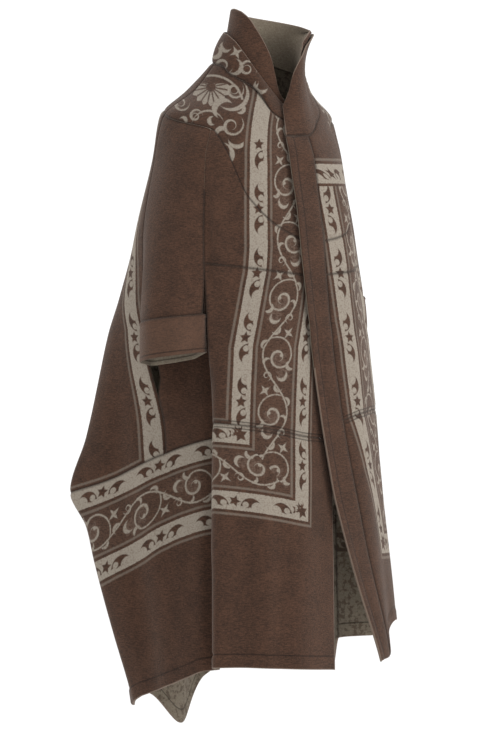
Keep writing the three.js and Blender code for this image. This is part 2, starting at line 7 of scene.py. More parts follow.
import bpy
import numpy as np
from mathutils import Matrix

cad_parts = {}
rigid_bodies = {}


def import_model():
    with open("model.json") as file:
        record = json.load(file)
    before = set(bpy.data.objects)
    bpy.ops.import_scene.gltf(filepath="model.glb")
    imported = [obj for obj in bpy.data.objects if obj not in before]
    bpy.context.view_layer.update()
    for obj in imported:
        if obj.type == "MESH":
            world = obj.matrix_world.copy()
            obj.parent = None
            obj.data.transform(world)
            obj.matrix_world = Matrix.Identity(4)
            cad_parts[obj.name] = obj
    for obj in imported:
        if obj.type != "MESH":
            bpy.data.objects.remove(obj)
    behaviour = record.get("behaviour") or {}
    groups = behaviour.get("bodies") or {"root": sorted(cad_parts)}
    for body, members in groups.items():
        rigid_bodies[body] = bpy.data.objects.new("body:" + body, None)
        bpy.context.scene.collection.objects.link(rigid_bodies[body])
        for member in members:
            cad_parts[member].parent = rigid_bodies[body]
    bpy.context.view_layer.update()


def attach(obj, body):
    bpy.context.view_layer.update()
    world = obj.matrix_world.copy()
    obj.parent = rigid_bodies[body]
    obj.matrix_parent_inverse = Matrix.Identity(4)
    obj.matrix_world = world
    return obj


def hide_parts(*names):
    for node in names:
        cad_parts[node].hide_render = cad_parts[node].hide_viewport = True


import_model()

MM = 0.001

# Cloth and seams, in millimetres
WALL = 3.0
SEAM_GAP = 0.05
LAYER_GAP = 4.0
SEAM_DIP = 1.44
SEAM_DIP_WIDTH = 5.0
RIM_ROUNDING = 0.9
RIM_REACH = 0.8
CUFF_RIM_REACH = 0.9
NOWHERE = 1e3  # stands for a seam or edge that is too far off to show

# A stitched row, and the turned hem inside its own row
STITCH_INSET = 7.0
STITCH_DEPTH = 0.9
STITCH_WIDTH = 1.8
BAND_STITCH = 17.0
HEM_TURN = 28.0
HEM_STITCH_DEPTH = 1.8
HEM_STITCH_WIDTH = 2.4
HEM_STEP = 5
HEM_OUTWARD = 1.2
HEM_INWARD = 0.8

# Steps of the grids: plain ones, the ones beside a seam, and the closest that are kept
FINE_STEP = 7.0
SEAM_STEPS = [0.6, 1.6, 3.2, 5.0]
LEAST_STEP = 0.5
STEPS_PER_FOLD = 40
RUN_HEIGHTS = [-90.0, -300.0, -700.0, -1000.0]
# Rough lengths that set how many rows and columns a piece has: yoke, side, skirt, hem and others
PANEL_LENGTHS = (190, 250, 330, 500)
ARM_WIDTH = 200
SLEEVE_LENGTH = 280
FREE_SLEEVE_ROWS = 20
UNDER_LENGTH = 200
GUSSET_LENGTH = 440
COLLAR_DEPTH = 90
BACK_ROWS = (40, 62)
BACK_SEAM_ROWS = [1.003, 1.008, 1.016, 2.985, 2.992, 2.997]
BAND_ROWS = (32, 130)
BAND_SEAM_ROWS = [0.004, 0.012, 3.99, 3.996]
COLLAR_ROWS = (8, 14)
COLLAR_SEAM_ROWS = [0.008, 0.02]
CUFF_SHARES = [0, 0.01, 0.03, 0.06, 0.1, *np.linspace(0.15, 0.95, 12), 0.97, 0.985, 1]

# The folds and seams below are the coat's own cutting and drape tables, in millimetres.
# Directions are degrees from the front towards the wearer's right. A fold is its
# directions at TURN_LEVELS and its distances from the axis at LEVELS; the last value of each holds.
LEVELS = [80, 20, -40, -130, -300, -480, -700, -816, -890, -960, -1250]
TURN_LEVELS = [-40, -480, -816, -1200]

FRONT_RIGHT_FOLDS = [
    ([4, 2, 0, -2], [84, 92, 112, 148, 172, 177, 179, 180, 181, 182, 184]),
    ([22, 20], [90, 104, 126, 164, 188, 191, 193, 192, 192, 193, 194]),
    ([40, 40, 42, 44], [98, 114, 142, 186, 206, 209, 211, 212]),
    ([56, 58, 60, 62], [104, 120, 172, 218, 232, 228, 228, 229, 230, 230, 231]),
    ([68, 72, 73], [110, 132, 196, 240, 252, 244, 242, 242, 242, 243, 244]),
    ([78, 76, 79], [112, 140, 208, 250, 262, 252, 214, 210, 209, 208, 206]),
]
SLEEVE_RIGHT_FOLDS = [
    ([86, 85, 86], [115, 150, 222, 262, 286, 312]), ([96, 94, 95], [117, 158, 234, 266, 298, 330]),
    ([105, 103, 104], [118, 164, 241, 264, 296, 315, 316]),
]
SLEEVE_UNDER_RIGHT_FOLDS = [
    ([85], [236, 236, 236, 238, 221, 222]), ([93], [238, 238, 238, 242, 228, 210]),
    ([102], [252, 252, 252, 258, 254, 234]),
]
GUSSET_RIGHT_FOLDS = [
    ([85], [220, 220, 220, 222, 203, 176, 166, 164, 165, 166, 170]),
    ([93], [222, 222, 222, 226, 208, 184, 186, 190, 190, 190, 186]),
    ([102], [234, 234, 234, 240, 232, 210, 206, 206, 205, 204, 200]),
]
BACK_FOLDS = [
    ([112, 111, 112], [119, 166, 240, 261, 286, 284, 236, 233, 230, 226, 214]),
    ([122], [117, 168, 234, 250, 289, 311, 290, 281, 271, 262, 236]),
    ([130], [113, 168, 229, 243, 285, 327, 346, 350, 330, 320, 268]),
    ([136, 136, 136, 135], [109, 168, 224, 240, 280, 334, 385, 417, 383, 366, 284]),
    ([142, 142, 141, 142], [106, 162, 218, 240, 278, 327, 370, 388, 364, 348, 288]),
    ([158, 158, 158, 163], [104, 146, 190, 226, 262, 286, 306, 314, 311, 306, 290]),
    ([180], [102, 134, 165, 200, 228, 240, 246, 246, 248, 252, 264]),
    ([202, 202, 203, 196], [102, 138, 176, 216, 248, 264, 284, 292, 295, 296, 284]),
    ([225, 225, 225, 221], [104, 150, 206, 244, 266, 270, 258, 254, 255, 256, 268]),
    ([240], [106, 162, 238, 264, 278, 282, 270, 274, 276, 278, 282]),
    ([250], [106, 168, 246, 270, 284, 282, 256, 256, 258, 260, 268]),
]
SLEEVE_LEFT_FOLDS = [
    ([257], [108, 146, 236, 264, 286, 298]), ([266], [104, 126, 192, 230, 269, 294]),
    ([275], [96, 106, 158, 190, 231, 264]),
]
SLEEVE_UNDER_LEFT_FOLDS = [
    ([258], [220, 220, 220, 222, 224, 222]), ([266], [196, 196, 196, 198, 204, 200]),
    ([275], [168, 168, 168, 172, 192, 194]),
]
GUSSET_LEFT_FOLDS = [
    ([258], [206, 206, 206, 208, 208, 202, 228, 230, 232, 234, 244]),
    ([266], [180, 180, 180, 182, 186, 178, 204, 210, 213, 216, 226]),
    ([275], [152, 152, 152, 156, 174, 172, 208, 218, 222, 226, 238]),
]
FRONT_LEFT_FOLDS = [
    ([284, 284, 283, 278], [88, 96, 136, 170, 202, 224, 238, 245, 251, 256, 270]),
    ([300, 300, 297, 287], [82, 88, 120, 151, 177, 204, 228, 238, 249, 260, 296]),
    ([316, 316, 311, 297], [78, 80, 116, 147, 172, 198, 222, 232, 240, 248, 300]),
    ([354, 349, 336, 304], [82, 88, 120, 162, 196, 204, 214, 220, 225, 230, 257]),
    ([375, 365, 347, 308], [92, 106, 134, 176, 192, 197, 203, 209, 214, 220, 261]),
    ([395, 381, 364, 318], [98, 122, 148, 190, 206, 203, 200, 200, 201, 204, 244]),
]

# Heights of the seams, in one row for each fold round the coat
SEAM_NAMES = ["neck", "yoke", "waist", "knee", "hem"]
SEAM_HEIGHTS = [
    [-62, -300, -372, -705, -1180], [-56, -296, -368, -700, -1178], [-37, -268, -360, -686, -1175],
    [8, -205, -352, -676, -1173], [29, -104, -346, -671, -1174], [40, -66, -344, -688, -1177],
    [50, -57, -344, -700, -1180], [64, -50, -344, -708, -1184], [68, -42, -344, -718, -1196],
    [70, -34, -344, -735, -1210], [72, -27, -344, -764, -1224], [74, -24, -344, -796, -1238],
    [75, -24, -344, -818, -1250], [75, -26, -344, -822, -1258], [75, -40, -344, -806, -1236],
    [75, -60, -344, -785, -1300], [74, -50, -344, -775, -1205], [70, -32, -344, -760, -1140],
    [62, -26, -344, -740, -1136], [56, -34, -344, -722, -1160], [50, -42, -344, -710, -1178],
    [40, -50, -344, -698, -1122], [26, -58, -344, -684, -1118], [12, -80, -344, -666, -1116],
    [0, -140, -346, -650, -1084], [-14, -215, -350, -644, -1082], [-50, -282, -360, -652, -1110],
    [-78, -296, -366, -666, -1154], [-80, -300, -372, -680, -1166],
]

# Upper edges of the two collar layers
COLLAR_COLUMNS = ["at", "outerTop", "outerOut", "innerTop", "innerOut", "swell"]
COLLAR_EDGES = [
    [20, -28, 100, -18, 92, 0], [33, -8, 107, 10, 97, 2], [43, 14, 110, 79, 98, 4],
    [51, 34, 112, 110, 98, 8], [61, 60, 112, 139, 98, 8], [73, 91, 112, 166, 98, 6],
    [87, 118, 110, 179, 94, 5], [105, 132, 104, 184, 88, 5], [135, 137, 95, 180, 82, 6],
    [180, 138, 94, 172, 82, 4], [225, 136, 95, 162, 84, 0], [270, 132, 95, 150, 84, -12],
    [300, 132, 93, 142, 84, -24], [318, 130, 92, 140, 83, -26], [345, 112, 92, 122, 83, -20],
    [368, 80, 106, 88, 96, -6], [381, 48, 117, 56, 107, 0], [388, 8, 124, 14, 114, 0],
    [396, -30, 130, -26, 120, 0],
]
INNER_RISE = 0.3

FREE_SHARE = 0.1
UNDERARM_ROW = 0.7
SPLIT_TOP = -330
SPLIT_END = -540
GUSSET_TUCK = 17
UNDER_TUCK = 5
TUCK_TOP = -565
TUCK_END = -625

CUFF_RIGHT = {"topFront": -447, "topBack": -470, "endFront": -526, "endBack": -553}
CUFF_LEFT = {"topFront": -412, "topBack": -406, "endFront": -490, "endBack": -484}
CUFF_PROUD = 1.0
CUFF_COLUMNS = 40
CUFF_HEM = 9
# Ridges and grooves round the cuff: height, distance from its seam or its end, half-width
CUFF_WELT = [(1.6, 4.5, 2.6), (-1.0, 9.5, 1.6)]
CUFF_STITCH = [(-0.8, CUFF_HEM, 1.6)]

# Upright edge of the woven border: height, and place counted in folds
BORDER_RIGHT = [
    (100, 3.05), (-60, 3.05), (-138, 2.97), (-311, 2.9), (-361, 2.94), (-439, 3.16),
    (-515, 3.37), (-649, 3.38), (-1300, 3.4),
]
BORDER_LEFT = [
    (100, 26.7), (-117, 26.8), (-193, 26.95), (-320, 26.8), (-516, 26.53), (-656, 26.5),
    (-757, 26.04), (-863, 25.72), (-1000, 25.5), (-1300, 25.4),
]
BORDER_BACK = [(100, 10.9), (-297, 10.6), (-384, 10.2), (-479, 9.75), (-660, 9.65), (-1300, 9.6)]
BORDER_BACK_LEFT = [(100, 18.2), (-297, 18.3), (-479, 18.7), (-1300, 18.8)]
BORDER_WIDTH = 185.0
LEFT_BAND_TOP = -138.0
TOP_BAND_DEPTH = 46.0
LEFT_CORNER_TOP = -757.0
PAST_BAND = 53.0
FAR = -500.0
UPRIGHT_STRETCH = 1.05
EDGE_STRETCH = 0.25
SECOND_BAND_START = 138.0
LEVEL_STRETCH = 1.06
LEVEL_BAND_TOP = -600
RAW_EDGE_TOP = -555
# Where the sleeve meets the front, the seam only shows below this height
QUIET_FOOT = -185
QUIET_WIDTH = 12

# Soft creases: places at the top and the foot, counted in folds, then in
# millimetres the heights of both, the half-width and the rise (troughs are negative)
CREASE_COLUMNS = ["from_fold", "to_fold", "top", "foot", "width", "rise"]
CREASES = [
    [2.35, 2.2, -800, -1190, 24, 9], [2.8, 2.75, -860, -1190, 28, -5], [1.2, 1.4, -700, -1190, 34, 6],
    [3.7, 3.8, -420, -900, 34, 3.5], [4.9, 4.6, -150, -340, 13, -9], [4.35, 4.3, -170, -330, 26, 4],
    [3.3, 2.6, -330, -560, 24, -2.5], [9.9, 9.6, -620, -1240, 40, 7], [10.5, 10.2, -560, -1240, 36, -6],
    [11.2, 11.0, -420, -1100, 34, 5], [12.6, 12.9, -120, -1240, 40, -6], [13.5, 13.4, -90, -1290, 46, 8],
    [14.4, 14.5, -160, -1290, 40, -8], [15.5, 15.6, -120, -1290, 44, 9], [16.5, 16.4, -200, -1290, 40, -8],
    [17.4, 17.5, -100, -1240, 44, 7], [18.4, 18.5, -300, -1200, 34, -6], [23.6, 23.5, -300, -1100, 26, -5],
    [24.5, 24.4, -260, -1110, 28, 4], [25.6, 25.5, -560, -1130, 30, -4], [26.5, 26.4, -640, -1150, 26, 3],
]
FADE_AT_TOP = (-10, 110)
FADE_AT_FOOT = (20, 90)
# Slight unevenness of the cloth: height, run across, run down, phase
SWAYS = [(1.1, 47, 190, 0.0), (0.8, 29, -120, 1.3)]
SWAY_TOP = (-60, 200)


def rows_of(columns, rows):
    return [dict(zip(columns, row)) for row in rows]


def round_coat(right_arm, left_arm):
    return [*FRONT_RIGHT_FOLDS, *right_arm, *BACK_FOLDS, *left_arm, *FRONT_LEFT_FOLDS]


OUTER = round_coat(SLEEVE_RIGHT_FOLDS, SLEEVE_LEFT_FOLDS)
INNER = round_coat(GUSSET_RIGHT_FOLDS, GUSSET_LEFT_FOLDS)
UNDER = round_coat(SLEEVE_UNDER_RIGHT_FOLDS, SLEEVE_UNDER_LEFT_FOLDS)
SEAMS = rows_of(SEAM_NAMES, SEAM_HEIGHTS)
COLLAR = rows_of(COLLAR_COLUMNS, COLLAR_EDGES)


# Folds where something starts or ends, counted from the right front edge
RIGHT_EDGE = 0
UNDER_BAND = 1
RIGHT_ARM = (5, 9)
MID_BACK = 15
LEFT_ARM = (19, 23)
LEFT_FRONT = 26
BAND_SEAM = 27
BAND_EDGE = 28
VALLEY_RIGHT = 6
VALLEY_LEFT = 21
LAST = len(OUTER) - 1


def ramp(value, start, end):
    t = np.clip((value - start) / (end - start), 0, 1)
    return t * t * (3 - 2 * t)


def mix(a, b, share):
    return a + (b - a) * share


def matched(*values):
    return np.broadcast_arrays(*[np.asarray(value, float) for value in values])


def unit(vectors):
    return vectors / np.maximum(np.linalg.norm(vectors, axis=-1, keepdims=True), 1e-9)


def length_of(points, axis):
    """Lengths of the steps between points, along one side of their grid."""
    return np.linalg.norm(np.diff(points, axis=axis), axis=-1)


def bump_row(distance, width):
    return np.exp(-((distance / width) ** 2))


def summed(lengths, axis):
    """Running length from the first point, which is at zero."""
    start = np.zeros_like(np.take(lengths, [0], axis=axis))
    return np.concatenate([start, np.cumsum(lengths, axis=axis)], axis=axis)


def through_stations(stations, values, at):
    """Smooth curve through rising stations that never overshoots its values."""
    s = np.asarray(stations, float)
    v = np.asarray(values, float)
    at = np.clip(np.asarray(at, float), s[0], s[-1])
    span = np.diff(s)
    rise = np.diff(v) / span
    slope = np.concatenate([rise[:1], np.zeros(len(s) - 2), rise[-1:]])
    same = rise[:-1] * rise[1:] > 0
    total = np.where(same, rise[:-1] + rise[1:], 1)
    slope[1:-1] = np.where(same, 2 * rise[:-1] * rise[1:] / total, 0)
    k = np.clip(np.searchsorted(s, at, side="right") - 1, 0, len(s) - 2)
    t = (at - s[k]) / span[k]
    h = span[k]
    low = v[k] * (1 + 2 * t) * (1 - t) ** 2 + slope[k] * h * t * (1 - t) ** 2
    return low + v[k + 1] * t * t * (3 - 2 * t) - slope[k + 1] * h * t * t * (1 - t)


# Each fold's track is worked out once for every millimetre of height
TOP_Z = 200
DEPTHS = np.arange(0, 1601, dtype=float)


def fold_track(fold):
    def run(levels, values):
        values = values + values[-1:] * (len(levels) - len(values))
        return through_stations([-z for z in levels], values, DEPTHS - TOP_Z)

    angle, out = np.radians(run(TURN_LEVELS, fold[0])), run(LEVELS, fold[1])
    return np.stack([-out * np.sin(angle), -out * np.cos(angle)], axis=-1)


LAYERS = {"sleeve": OUTER, "gusset": INNER, "under": UNDER}
TRACKS = {layer: np.array([fold_track(fold) for fold in folds]) for layer, folds in LAYERS.items()}
split = ramp(DEPTHS - TOP_Z, -SPLIT_TOP, -SPLIT_END)[None, :, None]
TRACKS["body"] = TRACKS["sleeve"] * (1 - split) + TRACKS["gusset"] * split


def spot(layer, index, z):
    depth = np.clip(TOP_Z - z, 0, len(DEPTHS) - 1.001)
    low = depth.astype(int)
    share = (depth - low)[..., None]
    track = TRACKS[layer]
    index = np.clip(index, 0, LAST)
    return track[index, low] * (1 - share) + track[index, low + 1] * share


def round_at(layer, column, z):
    """Place on the curve through the folds at a height, both as arrays."""
    column, z = matched(column, z)
    k = np.clip(np.floor(column).astype(int), 0, LAST - 1)
    t = (column - k)[..., None]
    p = [spot(layer, k + i, z) for i in (-1, 0, 1, 2)]
    gaps = [np.maximum(np.linalg.norm(p[i + 1] - p[i], axis=-1, keepdims=True), 1) for i in range(3)]

    def slope(i):
        before = (p[i] - p[i - 1]) * gaps[i] / gaps[i - 1]
        after = (p[i + 1] - p[i]) * gaps[i - 1] / gaps[i]
        return (before + after) * gaps[1] / (gaps[i - 1] + gaps[i])

    return (
        p[1] * (1 + 2 * t) * (1 - t) ** 2 + slope(1) * t * (1 - t) ** 2
        + p[2] * t * t * (3 - 2 * t) + slope(2) * t * t * (t - 1)
    )


def seam_height(name, column):
    return through_stations(range(len(SEAMS)), [row[name] for row in SEAMS], column)


def height_at(column, down):
    column, down = matched(column, down)
    heights = np.stack([seam_height(name, column) for name in SEAM_NAMES], axis=-1)
    k = np.clip(np.floor(down).astype(int), 0, len(SEAM_NAMES) - 2)
    low = np.take_along_axis(heights, k[..., None], axis=-1)[..., 0]
    high = np.take_along_axis(heights, k[..., None] + 1, axis=-1)[..., 0]
    return low + (high - low) * (down - k)


def raised(flat_spot, z):
    return np.concatenate([flat_spot, z[..., None]], axis=-1)


def body_point(column, down):
    z = height_at(column, down)
    return raised(round_at("body", column, z), z)


# Length round the body from the right front edge, looked up by fold and height
ARCS_PER_FOLD = 16
ARC_DROP = 10.0
ARC_COLUMNS = np.linspace(0, LAST, LAST * ARCS_PER_FOLD + 1)
ARC_Z = np.arange(100, -1321, -ARC_DROP)
ARCS = summed(length_of(round_at("body", ARC_COLUMNS[None, :], ARC_Z[:, None]), 1), 1)


def arc_at(column, z):
    column, z = matched(column, z)
    row = np.clip((ARC_Z[0] - z) / ARC_DROP, 0, len(ARC_Z) - 1.001)
    col = np.clip(column * ARCS_PER_FOLD, 0, len(ARC_COLUMNS) - 1.001)
    r, c = row.astype(int), col.astype(int)
    fr, fc = row - r, col - c
    upper = mix(ARCS[r, c], ARCS[r, c + 1], fc)
    return mix(upper, mix(ARCS[r + 1, c], ARCS[r + 1, c + 1], fc), fr)


def crease_rise(column, z):
    """Height of the listed creases above the plain surface."""
    total = np.zeros(np.broadcast(column, z).shape)
    here = arc_at(column, z)
    for c in rows_of(CREASE_COLUMNS, CREASES):
        share = np.clip((z - c["top"]) / (c["foot"] - c["top"]), 0, 1)
        middle = arc_at(mix(c["from_fold"], c["to_fold"], share), z)
        begins = ramp(-z, *[edge - c["top"] for edge in FADE_AT_TOP])
        ends = ramp(-z, *[edge - c["foot"] for edge in FADE_AT_FOOT])
        total = total + c["rise"] * begins * (1 - ends) * bump_row(here - middle, c["width"])
    for rise, across, down, phase in SWAYS:
        total = total + rise * np.sin(here / across + z / down + phase) * ramp(-z, *SWAY_TOP)
    return total


NUDGE = 0.003


def outward(surface, column, down):
    across = surface(column + NUDGE, down) - surface(column - NUDGE, down)
    along = surface(column, down + NUDGE) - surface(column, down - NUDGE)
    return unit(np.cross(across, along))


def narrowed(arm, column, z, base):
    middle = (arm[0] + arm[1]) / 2
    return middle + (column - middle) * (1 - FREE_SHARE * ramp(-z, -base, -SPLIT_END))


def arm_share(arm, column):
    return np.clip((column - arm[0]) / (arm[1] - arm[0]), 0, 1)


def cuff_line(arm, cuff, which, column):
    front, back = cuff[which + "Front"], cuff[which + "Back"]
    if arm is LEFT_ARM:
        front, back = back, front
    return mix(front, back, arm_share(arm, column))


def sleeve_point(arm, cuff):
    def surface(column, down):
        column, down = matched(column, down)
        waist = seam_height("waist", column)
        sewn = mix(seam_height("yoke", column), waist, down - 1)
        free = mix(waist, cuff_line(arm, cuff, "top", column), down - 2)
        z = np.where(down <= 2, sewn, free)
        return raised(round_at("sleeve", narrowed(arm, column, z, waist), z), z)
    return surface


def tucked(layer, arm, column, z, tuck):
    flat_spot = round_at(layer, column, z)
    edge = 1 - np.sin(np.pi * arm_share(arm, column))
    out = np.linalg.norm(flat_spot, axis=-1)
    return flat_spot * (1 - tuck * edge / out)[..., None]


def underarm_top(column):
    return mix(seam_height("yoke", column), seam_height("waist", column), UNDERARM_ROW)


def under_point(arm, cuff):
    def surface(column, down):
        column, down = matched(column, down)
        top = underarm_top(column)
        z = mix(top, cuff_line(arm, cuff, "top", column), down)
        return raised(tucked("under", arm, narrowed(arm, column, z, top), z, UNDER_TUCK), z)
    return surface


def gusset_point(arm):
    def surface(column, down):
        column, down = matched(column, down)
        z = mix(underarm_top(column), seam_height("knee", column), down)
        tuck = GUSSET_TUCK * (1 - ramp(-z, -TUCK_TOP, -TUCK_END))
        return raised(tucked("gusset", arm, column, z, tuck), z)
    return surface


def polar(at, out, z):
    angle = np.radians(at)
    return np.stack([-out * np.sin(angle), -out * np.cos(angle), z], axis=-1)


def neck_direction(column):
    rough = through_stations(range(len(OUTER)), [turns[0] for turns, _ in OUTER], column)
    base = body_point(column, 0.0)
    exact = np.degrees(np.arctan2(-base[..., 0], -base[..., 1]))
    return exact + 360 * np.round((rough - exact) / 360)


def collar_value(name, at):
    return through_stations([row["at"] for row in COLLAR], [row[name] for row in COLLAR], at)


def collar_outer_point(column, down):
    column, down = matched(column, down)
    at = neck_direction(column)
    base = body_point(column, np.zeros_like(column))
    up = 1 - down
    out = mix(np.linalg.norm(base[..., :2], axis=-1), collar_value("outerOut", at), up)
    out = out + 4 * up * down * collar_value("swell", at)
    return polar(at, out, mix(base[..., 2], collar_value("outerTop", at), up))


def collar_inner_point(column, down):
    column, down = matched(column, down)
    at = neck_direction(column)
    along = np.clip((down - INNER_RISE) / (1 - INNER_RISE), 0, 1)
    cover = collar_outer_point(column, along)
    cover = cover - outward(collar_outer_point, column, along) * (WALL + LAYER_GAP)
    top = polar(at, collar_value("innerOut", at), collar_value("innerTop", at))
    above = mix(top, cover, np.clip(down / INNER_RISE, 0, 1)[..., None])
    return np.where((down > INNER_RISE)[..., None], cover, above)


def border_of(line, column, z):
    """Distance in from the upright border's edge, towards the front edge of that panel."""
    place_in_folds = np.interp(-z, [-row[0] for row in line], [row[1] for row in line])
    return arc_at(place_in_folds, z) - arc_at(column, z)


def border_right(column, z):
    plain = border_of(BORDER_RIGHT, column, z)
    upright = plain * UPRIGHT_STRETCH + np.maximum(plain - SECOND_BAND_START, 0) * EDGE_STRETCH
    level = np.where(z < LEVEL_BAND_TOP, (seam_height("knee", column) - z) * LEVEL_STRETCH, FAR)
    return upright, level


def border_left(column, z):
    """The right front's border mirrored, with its own lower corner."""
    upright = BORDER_WIDTH - border_of(BORDER_LEFT, column, z)
    return upright, LEFT_CORNER_TOP - z


def border_left_top(column, z):
    return BORDER_WIDTH - border_of(BORDER_LEFT, column, z), LEFT_BAND_TOP - z


def border_back(column, z):
    """One upright light band on each side of the back, down to the slanted seam."""
    right = border_of(BORDER_BACK, column, z)
    left = -border_of(BORDER_BACK_LEFT, column, z)
    upright = np.minimum(np.maximum(right, left), PAST_BAND)
    return upright, seam_height("knee", column) - z


def border_below(column, z):
    return np.full(np.shape(z), FAR), seam_height("knee", column) - z


def border_none(column, z):
    return np.full(np.shape(z), FAR), np.full(np.shape(z), FAR)


# Mesh making


def spaced(low, high, length, near_edges=True):
    """Even steps of about FINE_STEP along a length, with closer ones beside both seams."""
    count = max(3, int(round(length / FINE_STEP)))
    shares = np.linspace(0, 1, count + 1)
    if near_edges:
        beside = np.array(SEAM_STEPS) / length
        shares = np.unique(np.round(np.concatenate([shares, beside, 1 - beside]), 6))
        keep = [0]
        for i in range(1, len(shares)):
            if shares[i] - shares[keep[-1]] > LEAST_STEP / length or i == len(shares) - 1:
                keep.append(i)
        shares = shares[keep]
        shares[-1] = 1.0
    return low + (high - low) * shares


EVERYTHING = slice(None)
# Where the points of each side and of the line next to it lie in a grid
SIDES = {
    "first": ((EVERYTHING, 0), (EVERYTHING, 1)), "last": ((EVERYTHING, -1), (EVERYTHING, -2)),
    "top": (0, 1), "bottom": (-1, -2),
}


def inset_rim(points, sides, amount):
    """The grid with its sewn sides moved inward, so that seams stay open by a hair."""
    moved = points.copy()
    for side in SIDES:
        if side in sides:
            at, beside = SIDES[side]
            tangent = unit(np.gradient(points[at], axis=0))
            inward = points[beside] - points[at]
            inward = unit(inward - tangent * np.sum(inward * tangent, axis=-1, keepdims=True))
            moved[at] += inward * amount
    return moved


def edge_distances(points):
    """Distance of every grid point to the four sides, along the grid's own lines."""
    left, top = (summed(length_of(points, axis), axis) for axis in (1, 0))
    return {"first": left, "last": left[:, -1:] - left, "top": top, "bottom": top[-1:] - top}


def wall_mesh(name, outer, inner, layers, loop=False):
    """Closed thin wall between two grids of points in millimetres, with named layers of values.
    A layer of one value is a point attribute, and one of two values is a UV map."""
    rows, cols = outer.shape[:2]
    half = rows * cols
    top = np.arange(cols if loop else cols - 1)
    i, j = np.meshgrid(np.arange(rows - 1), top, indexing="ij")
    a = i * cols + j
    d = i * cols + (j + 1) % cols
    b, c = a + cols, d + cols
    beside, low = (top + 1) % cols, (rows - 1) * cols
    rims = [[top, top + half, beside + half, beside],
            [low + top, low + beside, low + beside + half, low + top + half]]
    if not loop:
        side = np.arange(rows - 1) * cols
        rims.append([side, side + cols, side + cols + half, side + half])
        side = side + cols - 1
        rims.append([side, side + half, side + cols + half, side + cols])
    front, back = (np.stack(loops, axis=-1).reshape(-1, 4) for loops in ((a, d, c, b), (a, b, c, d)))
    faces = np.concatenate([front, back + half, *[np.stack(rim, axis=-1) for rim in rims]])
    verts = np.concatenate([outer.reshape(-1, 3), inner.reshape(-1, 3)]) * MM
    mesh = bpy.data.meshes.new(name)
    mesh.from_pydata(verts, [], faces)
    mesh.validate()
    mesh.polygons.foreach_set("use_smooth", np.ones(len(faces), dtype=bool))
    for label, value in {**layers, "inside": np.zeros(half)}.items():
        both = np.concatenate([value.reshape(half, -1)] * 2)
        if value.ndim == 3:
            mesh.uv_layers.new(name=label).data.foreach_set("uv", both[faces.ravel()].ravel())
        else:
            if label == "inside":
                both[half:] = 1
            field = mesh.attributes.new(name=label, type="FLOAT", domain="POINT")
            field.data.foreach_set("value", both.ravel())
    piece = bpy.data.objects.new(name, mesh)
    bpy.context.collection.objects.link(piece)
    return piece


def cut_size(points, loop=False):
    """Width, length and area of the flat cut, in metres, measured on the uncreased surface."""
    across = length_of(points, 1).sum(axis=1).max()
    down = length_of(points, 0).sum(axis=0).max()
    if loop:
        across += np.linalg.norm(points[:, 0] - points[:, -1], axis=-1).max()
    e1 = points[1:, :-1] - points[:-1, :-1]
    e2 = points[:-1, 1:] - points[:-1, :-1]
    area = np.linalg.norm(np.cross(e1, e2), axis=-1).sum()
    return across * MM, down * MM, area * MM * MM


def nearest(away, sides, start):
    return np.minimum.reduce([start, *[away[side] for side in sides]])


def thin_rim(points, normals, sides, away):
    """Both faces of the cloth: rounded at its rims, and pressed in beside each seam."""
    dip = bump_row(nearest(away, sides, np.full(points.shape[:2], NOWHERE)), SEAM_DIP_WIDTH) * SEAM_DIP
    shave = RIM_ROUNDING * np.exp(-nearest(away, SIDES, away["top"]) / RIM_REACH)
    return points - normals * (dip + shave)[..., None], points - normals * (WALL - shave)[..., None]


def nearer(one, other):
    """Of two signed distances, the one closer to zero."""
    return np.where(np.abs(other) < np.abs(one), other, one)


def cloth_panel(node, surface, columns, downs, sides, free=(), border=border_none, crease=True,
                neck_row=None, hem=None, stitched=(), quiet=(), raw_top=None, slot="body_cloth"):
    """One piece of the coat. sides are sewn and free ones are not; stitched sides carry a row of
    stitches, quiet ones hide their seam near the shoulder, and neck_row meets the collar."""
    grid_c, grid_d = np.meshgrid(columns, downs)
    plain = surface(grid_c, grid_d)
    normals = outward(surface, grid_c, grid_d)
    if neck_row is not None:
        shared = outward(body_point, columns, np.zeros_like(columns))
        normals[neck_row] = unit(shared + outward(collar_outer_point, columns, np.ones_like(columns)))
    z = plain[..., 2]
    points = inset_rim(plain, sides, SEAM_GAP / 2)
    if crease:
        points = points + normals * crease_rise(grid_c, z)[..., None]
    away = edge_distances(points)
    outer, inner = thin_rim(points, normals, sides, away)
    nowhere = np.full(z.shape, NOWHERE)
    edge = nearest(away, free, nowhere)
    if raw_top is not None:
        edge[z > raw_top] = NOWHERE
    seam = nearest(away, sides, nowhere)
    for side in quiet:
        seam = np.where((away[side] < QUIET_WIDTH) & (z > QUIET_FOOT), NOWHERE, seam)
    row = nowhere
    for side in stitched:
        row = nearer(row, away[side] - STITCH_INSET)
        outer = outer - normals * (STITCH_DEPTH * bump_row(row, STITCH_WIDTH))[..., None]
    if hem:
        turned = away[hem] - (BAND_STITCH if hem == "last" else HEM_TURN)
        row = nearer(row, turned)
        doubled = ramp(-turned, 0, HEM_STEP)
        stitches = HEM_STITCH_DEPTH * bump_row(turned, HEM_STITCH_WIDTH)
        outer = outer + normals * (HEM_OUTWARD * doubled - stitches)[..., None]
        inner = inner - normals * (HEM_INWARD * doubled)[..., None]
    upright, level = border(grid_c, z)
    layers = {
        "upright": np.stack([upright, -z], axis=-1) * MM,
        "level": np.stack([level, arc_at(grid_c, z)], axis=-1) * MM,
        "edge": edge * MM,
        "seam": seam * MM,
        "row": row * MM,
    }
    declare(wall_mesh("cloth_" + node, outer, inner, layers), node, slot, *cut_size(plain))


def declare(piece, node, slot, width, length, area):
    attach(piece, "root")
    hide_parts(node)


